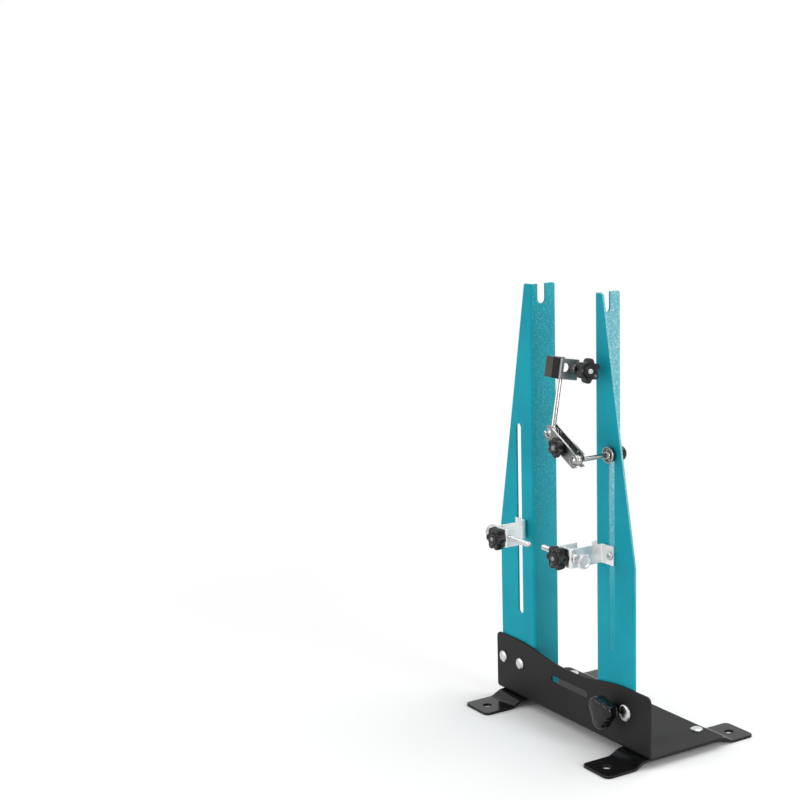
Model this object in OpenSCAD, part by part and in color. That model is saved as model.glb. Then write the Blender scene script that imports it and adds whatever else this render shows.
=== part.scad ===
// Bicycle wheel truing stand. A bent-sheet base on two foot strips carries a
// riveted left upright and a right upright that slides on two bolts. A gauge
// with a fine screw slides in each upright's long slot, and a ball-jointed arm
// on the right upright holds a third, U-shaped gauge. Frame: +X to the right,
// +Y to the back, +Z up. The origin is the centre of the four bench-bolt
// holes, on the surface of the bench.

/* [Base plate] */
// Length of the base plate from its left end to its right end
base_len = 264; // [260:1:280]
// Depth of the bottom of the base plate, from its front face to its back edge
base_depth = 100.5; // [90:0.5:104]
// Height of the bottom of the base plate above the bench
base_lift = 9; // [7:0.5:12]
// Height of the front plate's top edge near its two ends, above the bench
front_h_end = 74.5; // [70:0.5:85]
// Height of the front plate's top edge in the middle, above the bench
front_h_mid = 65; // [60:0.5:68]
// Distance from the middle where the top edge starts to rise
front_low_to = 8; // [4:1:20]
// Distance from the middle where the top edge is at full height
front_high_from = 95; // [70:1:110]
// Radius of the base plate's free corners
base_corner_r = 6; // [4:0.5:12]
// Thickness of the base sheet
base_t = 2.5; // [2:0.1:3]
// Outer radius of the bends in the base and the uprights
bend_r = 4.5; // [3.5:0.1:5.5]
// Distance between the end centres of the long window in the front plate
window_cc = 55.5; // [40:0.5:65]
// Width of the long window in the front plate
window_w = 7; // [5:0.5:9]
// Height of the window, the rivets and the clamp above the bench
fixing_z = 48; // [44:0.5:50]

/* [Feet] */
// Width of a foot strip
foot_w = 42; // [36:1:46]
// Length of a foot strip, front to back
foot_len = 195; // [190:1:220]
// Thickness of a foot strip
foot_t = 3; // [2.5:0.1:4]
// How far a foot strip reaches in front of the front plate
foot_front = 50.5; // [46:0.5:54]
// Overhang of the base plate's left end past the left foot's centre line
left_overhang = 29; // [27:0.5:32]
// Overhang of the base plate's right end past the right foot's centre line
right_overhang = 25; // [22:0.5:28]
// Diameter of the bench-bolt holes
bench_hole_d = 9.5; // [7:0.1:10.5]
// Distance from a foot strip's end to the centre of its hole
bench_hole_inset = 16; // [13:0.5:18]
// Radius of a foot strip's corners
foot_corner_r = 6; // [2:0.5:8]
// Length of the sloping step at each end of a foot strip
foot_ramp = 12; // [9:0.5:14]
// Sideways distance of the rivets from a foot strip's centre line
foot_rivet_x = -7; // [-9:0.5:-5]
// Distance of the back rivets from the base plate's back edge
foot_rivet_back = 10.5; // [9:0.5:15]
// Distance of the front rivets from the front plate's front face
foot_rivet_front = 12.5; // [12.5:0.5:16]

/* [Uprights] */
// Height of the uprights' top above the bench
upright_top = 471; // [466:1:480]
// Height of the wheel axle above the bench
axle_z = 455; // [448:1:458]
// Clear width between the two webs at rest
hub_gap = 106; // [103:1:108]
// Distance of the left web's inner face from the origin
left_web = 64.5; // [63:0.5:66]
// Width of an upright's flange at its foot
flange_w = 62; // [61.5:0.5:63]
// Width of an upright's flange at its top
flange_top_w = 13; // [11:0.5:16]
// Height at which the flange starts to taper
taper_z = 201; // [190:1:215]
// Depth of an upright, front to back
web_depth = 31; // [28:0.5:33]
// Thickness of the upright sheet
upright_t = 2.5; // [2:0.1:3]
// Radius of an upright's free corners
upright_corner_r = 2.5; // [1.5:0.5:4]
// Width of the open slot that takes the axle
axle_slot_w = 10; // [9:0.1:10.5]
// Distance from an upright's front face to the axle
axle_back = 13.5; // [13:0.5:14.5]
// Distance from the web's inner face to the middle of the gauge slot
slot_in = 26.5; // [26:0.5:28]
// Width of the gauge slot
slot_w = 8.5; // [8:0.1:9]
// Height of the lower end of the gauge slot
slot_z0 = 105.5; // [98:0.5:108]
// Height of the upper end of the gauge slot
slot_z1 = 318.5; // [318:0.5:322]

/* [Clamp of the right upright] */
// How far the right upright can move in from its rest place
slide_in = 6; // [4:0.5:6]
// How far the right upright can move out from its rest place
slide_out = 20; // [14:0.5:20]
// Distance of the clamp knob's stud from the right web's inner face at rest
clamp_x = 35; // [34.5:0.5:35.5]
// Distance of the guide bolt from the right web's inner face at rest
guide_x = 50.5; // [50:0.5:51]
// Diameter of the clamp stud and the guide bolt
clamp_d = 6; // [5:0.1:6.2]
// Diameter over the lobes of the clamp knob
clamp_knob_d = 36; // [32:0.5:38]
// Thickness of the clamp knob's lobes
clamp_knob_t = 11; // [9:0.5:12]
// Length of the clamp knob's hub, from the front plate to its lobes
clamp_hub_h = 14; // [10:0.5:15]
// Diameter of the clamp knob's hub at the front plate
clamp_hub_d = 12; // [10:0.5:12.5]
// Turn of the clamp knob at rest
clamp_turn = 22; // [0:1:119]
// Diameter of the guide bolt's domed head
guide_head_d = 17.5; // [15:0.5:18]
// Height of the guide bolt's domed head
guide_head_h = 3.6; // [3:0.1:4.5]

/* [Rivets and nuts] */
// Diameter of a rivet head
rivet_head_d = 13; // [11:0.5:14]
// Height of a rivet's domed head
rivet_head_h = 2.6; // [1.8:0.1:3]
// Diameter of a rivet's shank
rivet_d = 6; // [5:0.1:6.4]
// Diameter of a rivet's upset end
rivet_tail_d = 9; // [8:0.5:10]
// Height of a rivet's upset end
rivet_tail_h = 1.5; // [1:0.1:2]
// Distance of the outer rivet from the left flange's outer edge
rivet_edge = 5; // [5:0.5:8]
// Distance between the two rivets of the left upright
rivet_pitch = 31.5; // [28:0.5:34]
// Width across flats of the flanged nuts
nut_af = 9; // [8:0.5:10]
// Height of the flanged nuts above their flange
nut_h = 4; // [3:0.5:5]
// Diameter of the flange of a nut
nut_flange_d = 13; // [12:0.5:14]
// Thickness of the flange of a nut
nut_flange_t = 1.4; // [1:0.1:2]

/* [Side gauges] */
// Width of the gauge strip
strip_w = 20; // [18:0.5:22]
// Thickness of the gauge strip
strip_t = 2; // [1.6:0.1:2.2]
// Outer radius of the gauge strip's bends
strip_bend = 3.5; // [3:0.1:4]
// Distance from the slot's middle to the strip's forward wall
tab_in = 13; // [12:0.5:14]
// Reach of the strip's tab past the slot's middle
tab_out = 5; // [5:0.5:6]
// Reach of the gauge strip in front of the flange
strip_reach = 42.5; // [40:0.5:45]
// Width of the gauge strip's front
strip_front_w = 20; // [19:0.5:22]
// Length of the gauge strip's return wall
strip_return = 23; // [20:0.5:25]
// Length of the sighting lug on the forward wall
lug_len = 5.5; // [4:0.5:7]
// Height of the sighting lug above the strip
lug_h = 4; // [3:0.5:6]
// Distance from the flange to the middle of the sighting lug
lug_front = 11; // [10:0.5:18]
// Height of the right side gauge at rest
right_gauge_z = 207; // [200:0.5:212]
// Height of the left side gauge at rest
left_gauge_z = 204; // [200:0.5:212]
// Diameter of the screw that holds a gauge in its slot
slot_screw_d = 5; // [4:0.1:6]
// Diameter of that screw's round head
slot_head_d = 9; // [8:0.5:10]
// Height of that screw's round head
slot_head_h = 3; // [2.4:0.1:3.6]
// Diameter of the gauge screws
gauge_screw_d = 6; // [5:0.1:6]
// Distance from the strip's front face to the axis of its gauge screw
gauge_screw_back = 6.5; // [6.5:0.5:7]
// Reach of a gauge screw's tip past the strip's forward wall
gauge_tip = 56; // [50:0.5:57]
// Length of gauge screw between the forward wall and its knurled head
gauge_stem = 10; // [9:0.5:11]
// Diameter of the knurled head
knurl_d = 15.5; // [14:0.5:17]
// Thickness of the knurled head
knurl_t = 6; // [5:0.5:7]
// Diameter of the threaded bush in the forward wall
bush_d = 9; // [8.4:0.1:10]
// Reach of the threaded bush out of the forward wall
bush_out = 3; // [2:0.5:4]
// Height of the threaded block behind the strip's front
block_h = 14; // [12:0.5:18]
// Depth of the threaded block behind the strip's front
block_depth = 9; // [9:0.5:11]
// Distance from the forward wall's face to the axis of the lock knob
lock_in = 13; // [11:0.5:14]

/* [Star knobs] */
// Diameter over the lobes of a star knob
star_d = 25.5; // [23:0.5:27]
// Thickness of a star knob
star_t = 10; // [8:0.5:11]
// Number of lobes of a star knob
star_lobes = 6; // [5:1:7]
// Diameter of a star knob's hub
star_hub_d = 13; // [11:0.5:15]
// Height of a star knob's hub
star_hub_h = 2; // [1.5:0.1:2.5]
// Diameter of the studs in the star knobs
stud_d = 5; // [4:0.1:6]
// Reach of a stud's end out of its knob
stud_out = 0.8; // [0.4:0.1:1.5]

/* [Ball-jointed arm] */
// Height of the arm's lower rod
arm_z = 311; // [304:0.5:311.5]
// Reach of the lower rod's ball in front of the flange
arm_reach = 42.5; // [41:0.5:45]
// Diameter of the arm's rods
rod_d = 4.8; // [4.4:0.1:5.2]
// Diameter of the arm's balls
ball_d = 11.5; // [11:0.1:12]
// Distance between the two balls
ball_pitch = 45.5; // [43:0.5:48]
// Slope of the ball clamp above the level
clamp_slope = 29; // [25:1:38]
// Width of the ball clamp's plates
plate_w = 15; // [14:0.5:16]
// Thickness of the ball clamp's plates
plate_t = 2; // [1.8:0.1:2.4]
// Diameter of the holes in which the balls sit
seat_d = 8.8; // [8.6:0.1:9]
// Width of the notch in each end of a plate
notch_w = 5.6; // [5.4:0.1:6]
// Diameter of the star knob on the ball clamp
clamp_star_d = 21; // [18:0.5:22]
// Thickness of the star knob on the ball clamp
clamp_star_t = 7; // [6:0.5:10]
// Diameter of the cup washer in front of the flange
cup_d = 17; // [15:0.5:18]
// Height of the cup washer
cup_h = 5; // [4:0.5:7]
// Diameter of the black washer behind the cup washer
arm_washer_d = 15; // [13:0.5:17]
// Thickness of the black washer
arm_washer_t = 2.5; // [2:0.1:3]
// Diameter of the domed lock knob behind the flange
dome_knob_d = 15.5; // [14:0.5:17]
// Length of the straight part of the domed lock knob
dome_knob_h = 9; // [8:0.5:11]
// Height of the lock knob's dome
dome_h = 5; // [4:0.5:6]
// Backward lean of the upper rod
rod_lean = 10; // [6:0.5:10]

/* [Disc gauge] */
// Distance from the upper ball to the foot of the disc gauge
head_foot = 54; // [50:0.5:58]
// Width of the disc gauge, over both walls
head_w = 25; // [23:0.5:27]
// Distance from the upper rod to the near wall's outer face
head_near = 5.5; // [5.5:0.1:6.5]
// Distance from the upper rod to the disc gauge's front face
head_front = 6.6; // [6.4:0.1:8]
// Length of the disc gauge's walls, front to back
head_wall = 24; // [23:0.5:28]
// Height of the disc gauge
head_h = 21; // [19:0.5:23]
// Thickness of the disc gauge's sheet
head_t = 1.6; // [1.4:0.1:1.8]
// Outer radius of the disc gauge's bends
head_bend = 2.8; // [2.4:0.1:3.2]
// Diameter of the empty hole in each wall
head_hole_d = 9; // [7:0.1:9.5]
// Distance of the empty hole behind the upper rod
head_hole_back = 1; // [0:0.5:2]
// Height of the holes above the disc gauge's foot
head_hole_up = 12; // [11:0.5:12.5]
// Diameter of the rod's threaded end and its nut's thread
rod_end_d = 4; // [3:0.1:4.2]
// Width across flats of the small nuts
small_nut_af = 7; // [6:0.1:7]
// Height of the small nuts
small_nut_h = 3.2; // [2.4:0.1:4]
// Width across flats of the disc gauge screw's nut
disc_nut_af = 8; // [7.6:0.1:9]
// Height of the disc gauge screw's nut
disc_nut_h = 3; // [2.4:0.1:3.2]
// Width of the foot tab that the rod stands in
foot_tab_w = 10; // [8:0.5:11]
// Reach of the foot tab behind the upper rod
foot_tab_back = 6; // [5:0.5:7]
// Distance of the disc gauge screw behind the upper rod
disc_screw_back = 13.5; // [11.5:0.5:14]
// Diameter of the disc gauge screw
disc_screw_d = 5; // [4:0.1:5]
// Length of screw between the near wall and its star knob
disc_stem = 6; // [6:0.5:9]
// Height of the hub of the disc gauge's star knob
disc_hub_h = 9; // [2:0.5:10]
// Reach of the disc gauge screw's tip inside the near wall
disc_tip = 4; // [3:0.5:5]

/* [Hidden] */

// Fineness of round shapes
$fn = 64;
// Overlap of a cutter past the face that it cuts, and of joined solids
cut = 1;
// Radial clearance of a shaft in its hole
fit = 0.08;
// Clearance between things that pass each other
gap = 0.3;

// Colours
sheet_black = [0.13, 0.13, 0.14];
teal = [0.11, 0.58, 0.64];
zinc = [0.74, 0.74, 0.75];
plastic = [0.05, 0.05, 0.06];
dark_steel = [0.34, 0.34, 0.35];

// Places along Y
front_y = foot_front - foot_len / 2;
base_back = front_y + base_depth;
flange_y = front_y + base_t;
flange_back = flange_y + upright_t;
web_back = flange_y + web_depth;
axle_y = flange_y + axle_back;
hole_y = foot_len / 2 - bench_hole_inset;
foot_rivet_ys = [front_y + foot_rivet_front, base_back - foot_rivet_back];

// Places along X
foot_pitch = base_len - left_overhang - right_overhang;
base_x1 = foot_pitch / 2 + right_overhang;
base_x0 = base_x1 - base_len;
base_mid = (base_x0 + base_x1) / 2;
right_web = hub_gap - left_web;
clamp_at = right_web + clamp_x;
guide_at = right_web + guide_x;
right_slot_x = right_web + slot_in;
left_slot_x = -left_web - slot_in;
rivet_xs = [-left_web - flange_w + rivet_edge,
            -left_web - flange_w + rivet_edge + rivet_pitch];

// Top of the bottom plate, on which the uprights' webs stand
floor_z = base_lift + base_t;
// Lower end of the uprights' flanges, clear of the base's bend
flange_z = base_lift + bend_r;
// Length of thread that shows past a nut
thread_past = 2;
// Length of a clamp bolt behind the front plate's front face
clamp_bolt_len = base_t + upright_t + nut_flange_t + nut_h + thread_past;

// Side gauge, from the middle of its slot and the height of its screw
wall_x = -tab_in;
strip_x0 = wall_x - strip_front_w;
strip_y = flange_y - strip_reach;
screw_y = strip_y + gauge_screw_back;
lock_x = wall_x - lock_in;
block_inset = strip_bend - strip_t;

// Arm: places of the balls, and half the clear gap between the clamp's plates
ball_y = flange_y - arm_reach;
upper_x = right_slot_x - ball_pitch * cos(clamp_slope);
upper_z = arm_z + ball_pitch * sin(clamp_slope);
half_gap = sqrt(pow(ball_d / 2 + fit, 2) - pow(seat_d / 2, 2));

// ------------------------------------------------------------ shared shapes

// Points its child's +Z axis to the front
module to_front(x, y, z) { translate([x, y, z]) rotate([90, 0, 0]) children(); }

// Points its child's +Z axis to the back
module to_back(x, y, z) { translate([x, y, z]) rotate([-90, 0, 0]) children(); }

// Points its child's +Z axis to the right
module to_right(x, y, z) { translate([x, y, z]) rotate([0, 90, 0]) children(); }

// Stands an (x, z) outline upright: it reaches back from y by t
module stand_xz(y, t) { to_front(0, y + t, 0) linear_extrude(t) children(); }

// Stands a (y, z) outline upright: it reaches right from x by t
module stand_yz(x, t) {
    translate([x, 0, 0]) rotate([90, 0, 90]) linear_extrude(t) children();
}

// Outline of a slot along X, its end centres cc apart
module slot_2d(cc, w) {
    square([cc, w], center = true);
    for (s = [-1, 1]) translate([s * cc / 2, 0]) circle(d = w);
}

// Rectangle from (x0, y0) to (x1, y1) with round corners
module round_rect(x0, y0, x1, y1, r) {
    translate([x0 + r, y0]) square([x1 - x0 - 2 * r, y1 - y0]);
    translate([x0, y0 + r]) square([x1 - x0, y1 - y0 - 2 * r]);
    for (x = [x0 + r, x1 - r], y = [y0 + r, y1 - r]) translate([x, y]) circle(r);
}

// Section of a sheet bend: its outer corner is at (0, 0), and its short legs to +X
// and +Y reach into the sheets that it joins
module bend_2d(r, t) {
    intersection() {
        translate([r, r]) difference() {
            circle(r);
            circle(r - t);
        }
        square(r);
    }
    translate([r, 0]) square([cut, t]);
    translate([0, r]) square([t, cut]);
}

// Points of an arc about c, from angle a0 to a1
function arc(c, r, a0, a1, n = 8) =
    [for (i = [0 : n]) c + r * [cos(a0 + (a1 - a0) * i / n), sin(a0 + (a1 - a0) * i / n)]];

// A low dome of diameter d and height h, with a short straight rim, on z = 0
module dome(d, h) {
    rim = h / 4;
    ball_r = (d * d / 4 + pow(h - rim, 2)) / (2 * (h - rim));
    rotate_extrude() intersection() {
        translate([0, h - ball_r]) circle(ball_r, $fn = 128);
        square([d / 2, h]);
    }
}

// A round bar with a running fit, to cut the hole that a bar of diameter d sits in
module hole(d, h) { translate([0, 0, -cut]) cylinder(d = d + 2 * fit, h = h + 2 * cut); }

// A rivet through sheets of total thickness grip, its dome on z = 0
module rivet(grip) {
    dome(rivet_head_d, rivet_head_h);
    translate([0, 0, -grip - rivet_tail_h]) {
        cylinder(d = rivet_d, h = grip + rivet_tail_h + rivet_head_h / 2);
        cylinder(d = rivet_tail_d, h = rivet_tail_h);
    }
}

// A hexagon nut on z = 0 for a thread of diameter d
module hex_nut(af, h, d) {
    difference() {
        cylinder(d = af / cos(30), h = h, $fn = 6);
        hole(d, h);
    }
}

// A flanged hexagon nut on z = 0 for a thread of diameter d
module flange_nut(d) {
    difference() {
        union() {
            cylinder(d = nut_flange_d, h = nut_flange_t);
            cylinder(d = nut_af / cos(30), h = nut_flange_t + nut_h, $fn = 6);
        }
        hole(d, nut_flange_t + nut_h);
    }
}

// Outline of a knob with n lobes: over_d over the lobes, body_d between them
module lobed_2d(n, over_d, lobe_d, body_d) {
    reach = (over_d - lobe_d) / 2;
    circle(d = body_d);
    for (i = [0 : n - 1]) rotate(360 * i / n) translate([reach / 2, 0]) slot_2d(reach, lobe_d);
}

// A star knob of diameter d and thickness t with its hub on z = 0 and a hole for its stud
module star_knob(d, t = star_t, hub_h = star_hub_h) {
    difference() {
        union() {
            cylinder(d = star_hub_d, h = hub_h + cut);
            translate([0, 0, hub_h]) linear_extrude(t) lobed_2d(star_lobes, d, d * 0.28, d * 0.8);
        }
        hole(stud_d, hub_h + t);
    }
}

// ------------------------------------------------------------ base and feet

// Share of the rise of the front plate's top edge at distance d from the middle
function rise(d) = let (t = min(1, max(0, (d - front_low_to) / (front_high_from - front_low_to))))
    t * t * (3 - 2 * t);

// Height of the front plate's top edge at x
function front_top(x) = front_h_mid + (front_h_end - front_h_mid) * rise(abs(x - base_mid));

module front_outline() {
    r = base_corner_r;
    steps = 24;
    inner = base_len / 2 - r;
    intersection() {
        polygon(concat([[base_x1, base_lift + bend_r], [base_x1, front_h_end]],
                       [for (i = [0 : steps]) let (x = base_mid + inner * (1 - 2 * i / steps))
                        [x, front_top(x)]],
                       [[base_x0, front_h_end], [base_x0, base_lift + bend_r]]));
        round_rect(base_x0, -r, base_x1, front_h_end, r);
    }
}

// Places of the rivets that hold the feet, as (x, y)
foot_rivets_at = [for (s = [-1, 1], y = foot_rivet_ys) [s * foot_pitch / 2 + foot_rivet_x, y]];

module base_plate() {
    color(sheet_black) difference() {
        union() {
            stand_xz(front_y, base_t) front_outline();
            translate([0, front_y, base_lift]) stand_yz(base_x0, base_len) bend_2d(bend_r, base_t);
            translate([0, 0, base_lift]) linear_extrude(base_t) difference() {
                round_rect(base_x0, front_y - base_corner_r, base_x1, base_back, base_corner_r);
                translate([base_x0, front_y - base_corner_r])
                    square([base_len, base_corner_r + bend_r]);
            }
        }
        stand_xz(front_y - cut, base_t + 2 * cut)
            translate([base_mid, fixing_z]) slot_2d(window_cc, window_w);
        for (x = rivet_xs) to_back(x, front_y, fixing_z) hole(rivet_d, base_t);
        for (x = [clamp_at, guide_at]) to_back(x, front_y, fixing_z) hole(clamp_d, base_t);
        for (p = foot_rivets_at) translate([p[0], p[1], base_lift]) hole(rivet_d, base_t);
    }
}

// Sideways shift of a ramp's upper line, which keeps the strip's thickness on the slope
foot_rise = base_lift - foot_t;
ramp_shift = foot_t * (norm([foot_ramp, foot_rise]) - foot_ramp) / foot_rise;

// Side outline of a foot strip in (y, z): flat ends, a raised middle under the base
module foot_profile() {
    half = foot_len / 2;
    y0 = front_y - foot_ramp;
    y1 = base_back + foot_ramp;
    polygon([[-half, 0], [y0, 0], [front_y, foot_rise], [base_back, foot_rise], [y1, 0],
             [half, 0], [half, foot_t], [y1 + ramp_shift, foot_t],
             [base_back + ramp_shift, base_lift], [front_y - ramp_shift, base_lift],
             [y0 - ramp_shift, foot_t], [-half, foot_t]]);
}

module foot(x) {
    color(sheet_black) translate([x, 0, 0]) difference() {
        intersection() {
            stand_yz(-foot_w / 2, foot_w) foot_profile();
            translate([0, 0, -cut]) linear_extrude(base_lift + 2 * cut)
                round_rect(-foot_w / 2, -foot_len / 2, foot_w / 2, foot_len / 2, foot_corner_r);
        }
        for (s = [-1, 1]) translate([0, s * hole_y, -cut])
            cylinder(d = bench_hole_d, h = foot_t + 2 * cut);
        for (y = foot_rivet_ys) translate([foot_rivet_x, y, foot_rise]) hole(rivet_d, foot_t);
    }
}

module left_foot() { foot(-foot_pitch / 2); }
module right_foot() { foot(foot_pitch / 2); }

module foot_rivets() {
    color(zinc) for (p = foot_rivets_at) translate([p[0], p[1], floor_z]) rivet(base_t + foot_t);
}

// ------------------------------------------------------------ uprights

// Outline of the flange in (x, z), x measured outwards from the web's inner face
module flange_outline() {
    r = upright_corner_r;
    lean = atan2(flange_w - flange_top_w, upright_top - taper_z);
    top_c = [flange_top_w - r * (1 - sin(lean)) / cos(lean), upright_top - r];
    difference() {
        polygon(concat([[bend_r, flange_z]], arc([flange_w - r, flange_z + r], r, -90, 0),
                       [[flange_w, taper_z]], arc(top_c, r, lean, 90),
                       [[bend_r, upright_top]]));
        translate([slot_in, (slot_z0 + slot_z1) / 2]) rotate(90)
            slot_2d(slot_z1 - slot_z0 - slot_w, slot_w);
    }
}

// Outline of the web in (y, z), with the open axle slot at its top
module web_outline() {
    difference() {
        round_rect(flange_y - bend_r, floor_z, web_back, upright_top, upright_corner_r);
        translate([flange_y - bend_r, 0]) square([2 * bend_r, upright_top + cut]);
        translate([axle_y, axle_z]) circle(d = axle_slot_w);
        translate([axle_y - axle_slot_w / 2, axle_z]) square([axle_slot_w, upright_top - axle_z + cut]);
    }
}

// An upright with its web's inner face on x = 0 and its flange towards +X
module upright() {
    stand_xz(flange_y, upright_t) flange_outline();
    stand_yz(0, upright_t) web_outline();
    translate([0, flange_y, flange_z]) linear_extrude(upright_top - flange_z)
        bend_2d(bend_r, upright_t);
}

module left_upright() {
    color(teal) difference() {
        translate([-left_web, 0, 0]) mirror([1, 0, 0]) upright();
        for (x = rivet_xs) to_back(x, flange_y, fixing_z) hole(rivet_d, upright_t);
    }
}

module upright_rivets() {
    color(zinc) for (x = rivet_xs) to_front(x, front_y, fixing_z) rivet(base_t + upright_t);
}

module right_upright() {
    slot_a = clamp_x - slide_out;
    slot_b = guide_x + slide_in;
    color(teal) translate([right_web, 0, 0]) difference() {
        upright();
        stand_xz(flange_y - cut, upright_t + 2 * cut)
            translate([(slot_a + slot_b) / 2, fixing_z]) slot_2d(slot_b - slot_a, clamp_d + 2 * gap);
    }
}

// ------------------------------------------------------------ clamp of the right upright

module guide_bolt() {
    color(zinc) {
        to_front(guide_at, front_y, fixing_z) dome(guide_head_d, guide_head_h);
        to_back(guide_at, front_y - guide_head_h / 2, fixing_z)
            cylinder(d = clamp_d, h = clamp_bolt_len + guide_head_h / 2);
    }
}

module guide_nut() { color(zinc) to_back(guide_at, flange_back, fixing_z) flange_nut(clamp_d); }
module clamp_nut() { color(zinc) to_back(clamp_at, flange_back, fixing_z) flange_nut(clamp_d); }

module clamp_stud() {
    color(zinc) to_back(clamp_at, front_y - clamp_hub_h, fixing_z)
        cylinder(d = clamp_d, h = clamp_hub_h + clamp_bolt_len);
}

module clamp_knob() {
    color(plastic) to_front(clamp_at, front_y, fixing_z) difference() {
        union() {
            cylinder(d = clamp_hub_d, h = clamp_hub_h + cut);
            translate([0, 0, clamp_hub_h]) linear_extrude(clamp_knob_t)
                rotate(clamp_turn) lobed_2d(3, clamp_knob_d, clamp_knob_d * 0.44, clamp_knob_d * 0.62);
        }
        translate([0, 0, -cut]) cylinder(d = clamp_d + 2 * fit, h = clamp_hub_h + cut);
    }
}

// ------------------------------------------------------------ side gauges
// Each piece is drawn for the right gauge, about the middle of its slot at the
// height of its screw. The left gauge is the mirror image.

module on_right() { translate([right_slot_x, 0, right_gauge_z]) children(); }
module on_left() { translate([left_slot_x, 0, left_gauge_z]) mirror([1, 0, 0]) children(); }

// Plan of the strip in (x, y): tab, forward wall, front and return wall
module strip_plan() {
    tab_x0 = wall_x - strip_t + strip_bend;
    translate([tab_x0, flange_y - strip_t]) square([tab_out - tab_x0, strip_t]);
    translate([wall_x - strip_t, flange_y]) mirror([0, 1]) bend_2d(strip_bend, strip_t);
    translate([wall_x - strip_t, strip_y + strip_bend])
        square([strip_t, strip_reach - 2 * strip_bend]);
    translate([wall_x, strip_y]) mirror([1, 0]) bend_2d(strip_bend, strip_t);
    translate([strip_x0 + strip_bend, strip_y])
        square([strip_front_w - 2 * strip_bend, strip_t]);
    translate([strip_x0, strip_y]) bend_2d(strip_bend, strip_t);
    translate([strip_x0, strip_y + strip_bend]) square([strip_t, strip_return - strip_bend]);
}

module gauge_bracket() {
    color(zinc) difference() {
        union() {
            translate([0, 0, -strip_w / 2]) linear_extrude(strip_w) strip_plan();
            translate([wall_x - strip_t, flange_y - lug_front - lug_len / 2, 0])
                cube([strip_t, lug_len, strip_w / 2 + lug_h]);
        }
        to_back(0, flange_y - strip_t, 0) hole(slot_screw_d, strip_t);
        to_right(wall_x - strip_t, screw_y, 0) hole(bush_d, strip_t);
        to_right(strip_x0, screw_y, 0) hole(gauge_screw_d, strip_t);
        to_back(lock_x, strip_y, 0) hole(stud_d, strip_t);
    }
}

module slot_screw() {
    color(zinc) {
        to_front(0, flange_y - strip_t, 0) dome(slot_head_d, slot_head_h);
        to_back(0, flange_y - strip_t - slot_head_h / 2, 0)
            cylinder(d = slot_screw_d, h = slot_head_h / 2 + strip_t + upright_t
                                           + nut_flange_t + nut_h + thread_past);
    }
}

module slot_nut() { color(zinc) to_back(0, flange_back, 0) flange_nut(slot_screw_d); }

module thread_block() {
    block_x = strip_x0 + strip_t + block_inset;
    color(zinc) difference() {
        translate([block_x, strip_y + strip_t, -block_h / 2])
            cube([strip_front_w - 2 * (strip_t + block_inset), block_depth, block_h]);
        to_right(block_x, screw_y, 0) hole(gauge_screw_d, strip_front_w);
        to_back(lock_x, strip_y, 0) hole(stud_d, gauge_screw_back - cut);
    }
}

module screw_bush() {
    len = strip_t + bush_out;
    color(zinc) to_right(wall_x - strip_t, screw_y, 0) difference() {
        cylinder(d = bush_d, h = len);
        hole(gauge_screw_d, len);
    }
}

module gauge_screw() {
    point = gauge_screw_d / 3;
    color(zinc) {
        to_right(wall_x - gauge_tip, screw_y, 0)
            cylinder(d1 = gauge_screw_d / 2, d2 = gauge_screw_d, h = point);
        to_right(wall_x - gauge_tip + point, screw_y, 0)
            cylinder(d = gauge_screw_d, h = gauge_tip - point + gauge_stem + cut);
        to_right(wall_x + gauge_stem, screw_y, 0) cylinder(d = knurl_d, h = knurl_t);
    }
}

module lock_knob() { color(plastic) to_front(lock_x, strip_y, 0) star_knob(star_d); }

module lock_stud() {
    depth = gauge_screw_back - gauge_screw_d / 2 - gap;
    color(zinc) to_front(lock_x, strip_y + depth, 0)
        cylinder(d = stud_d, h = depth + star_hub_h + star_t + stud_out);
}

module left_gauge_bracket() { on_left() gauge_bracket(); }
module left_slot_screw() { on_left() slot_screw(); }
module left_slot_nut() { on_left() slot_nut(); }
module left_thread_block() { on_left() thread_block(); }
module left_screw_bush() { on_left() screw_bush(); }
module left_gauge_screw() { on_left() gauge_screw(); }
module left_lock_knob() { on_left() lock_knob(); }
module left_lock_stud() { on_left() lock_stud(); }
module right_gauge_bracket() { on_right() gauge_bracket(); }
module right_slot_screw() { on_right() slot_screw(); }
module right_slot_nut() { on_right() slot_nut(); }
module right_thread_block() { on_right() thread_block(); }
module right_screw_bush() { on_right() screw_bush(); }
module right_gauge_screw() { on_right() gauge_screw(); }
module right_lock_knob() { on_right() lock_knob(); }
module right_lock_stud() { on_right() lock_stud(); }

// ------------------------------------------------------------ ball-jointed arm

// Depth of the rod's end in the domed lock knob
dome_bore = dome_knob_h - gap;

module lower_rod() {
    color(zinc) translate([right_slot_x, ball_y, arm_z]) {
        sphere(d = ball_d);
        rotate([-90, 0, 0]) cylinder(d = rod_d, h = arm_reach + upright_t + dome_bore - gap);
    }
}

module arm_washer() {
    color(plastic) to_front(right_slot_x, flange_y, arm_z) difference() {
        cylinder(d = arm_washer_d, h = arm_washer_t);
        hole(rod_d, arm_washer_t);
    }
}

module arm_cup_washer() {
    color(zinc) to_front(right_slot_x, flange_y - arm_washer_t, arm_z) difference() {
        union() {
            cylinder(d = cup_d, h = cup_h / 3);
            translate([0, 0, cup_h / 3]) cylinder(d1 = cup_d, d2 = cup_d / 2, h = cup_h * 2 / 3);
        }
        hole(rod_d, cup_h);
    }
}

module arm_lock_knob() {
    color(plastic) to_back(right_slot_x, flange_back, arm_z) difference() {
        union() {
            cylinder(d = dome_knob_d, h = dome_knob_h);
            translate([0, 0, dome_knob_h]) dome(dome_knob_d, dome_h);
        }
        translate([0, 0, -cut]) cylinder(d = rod_d + 2 * fit, h = dome_bore + cut);
    }
}

// The ball clamp's frame: the lower ball is at 0 and the upper one on -X
module on_clamp() {
    translate([right_slot_x, ball_y, arm_z]) rotate([0, clamp_slope, 0]) children();
}

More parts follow.
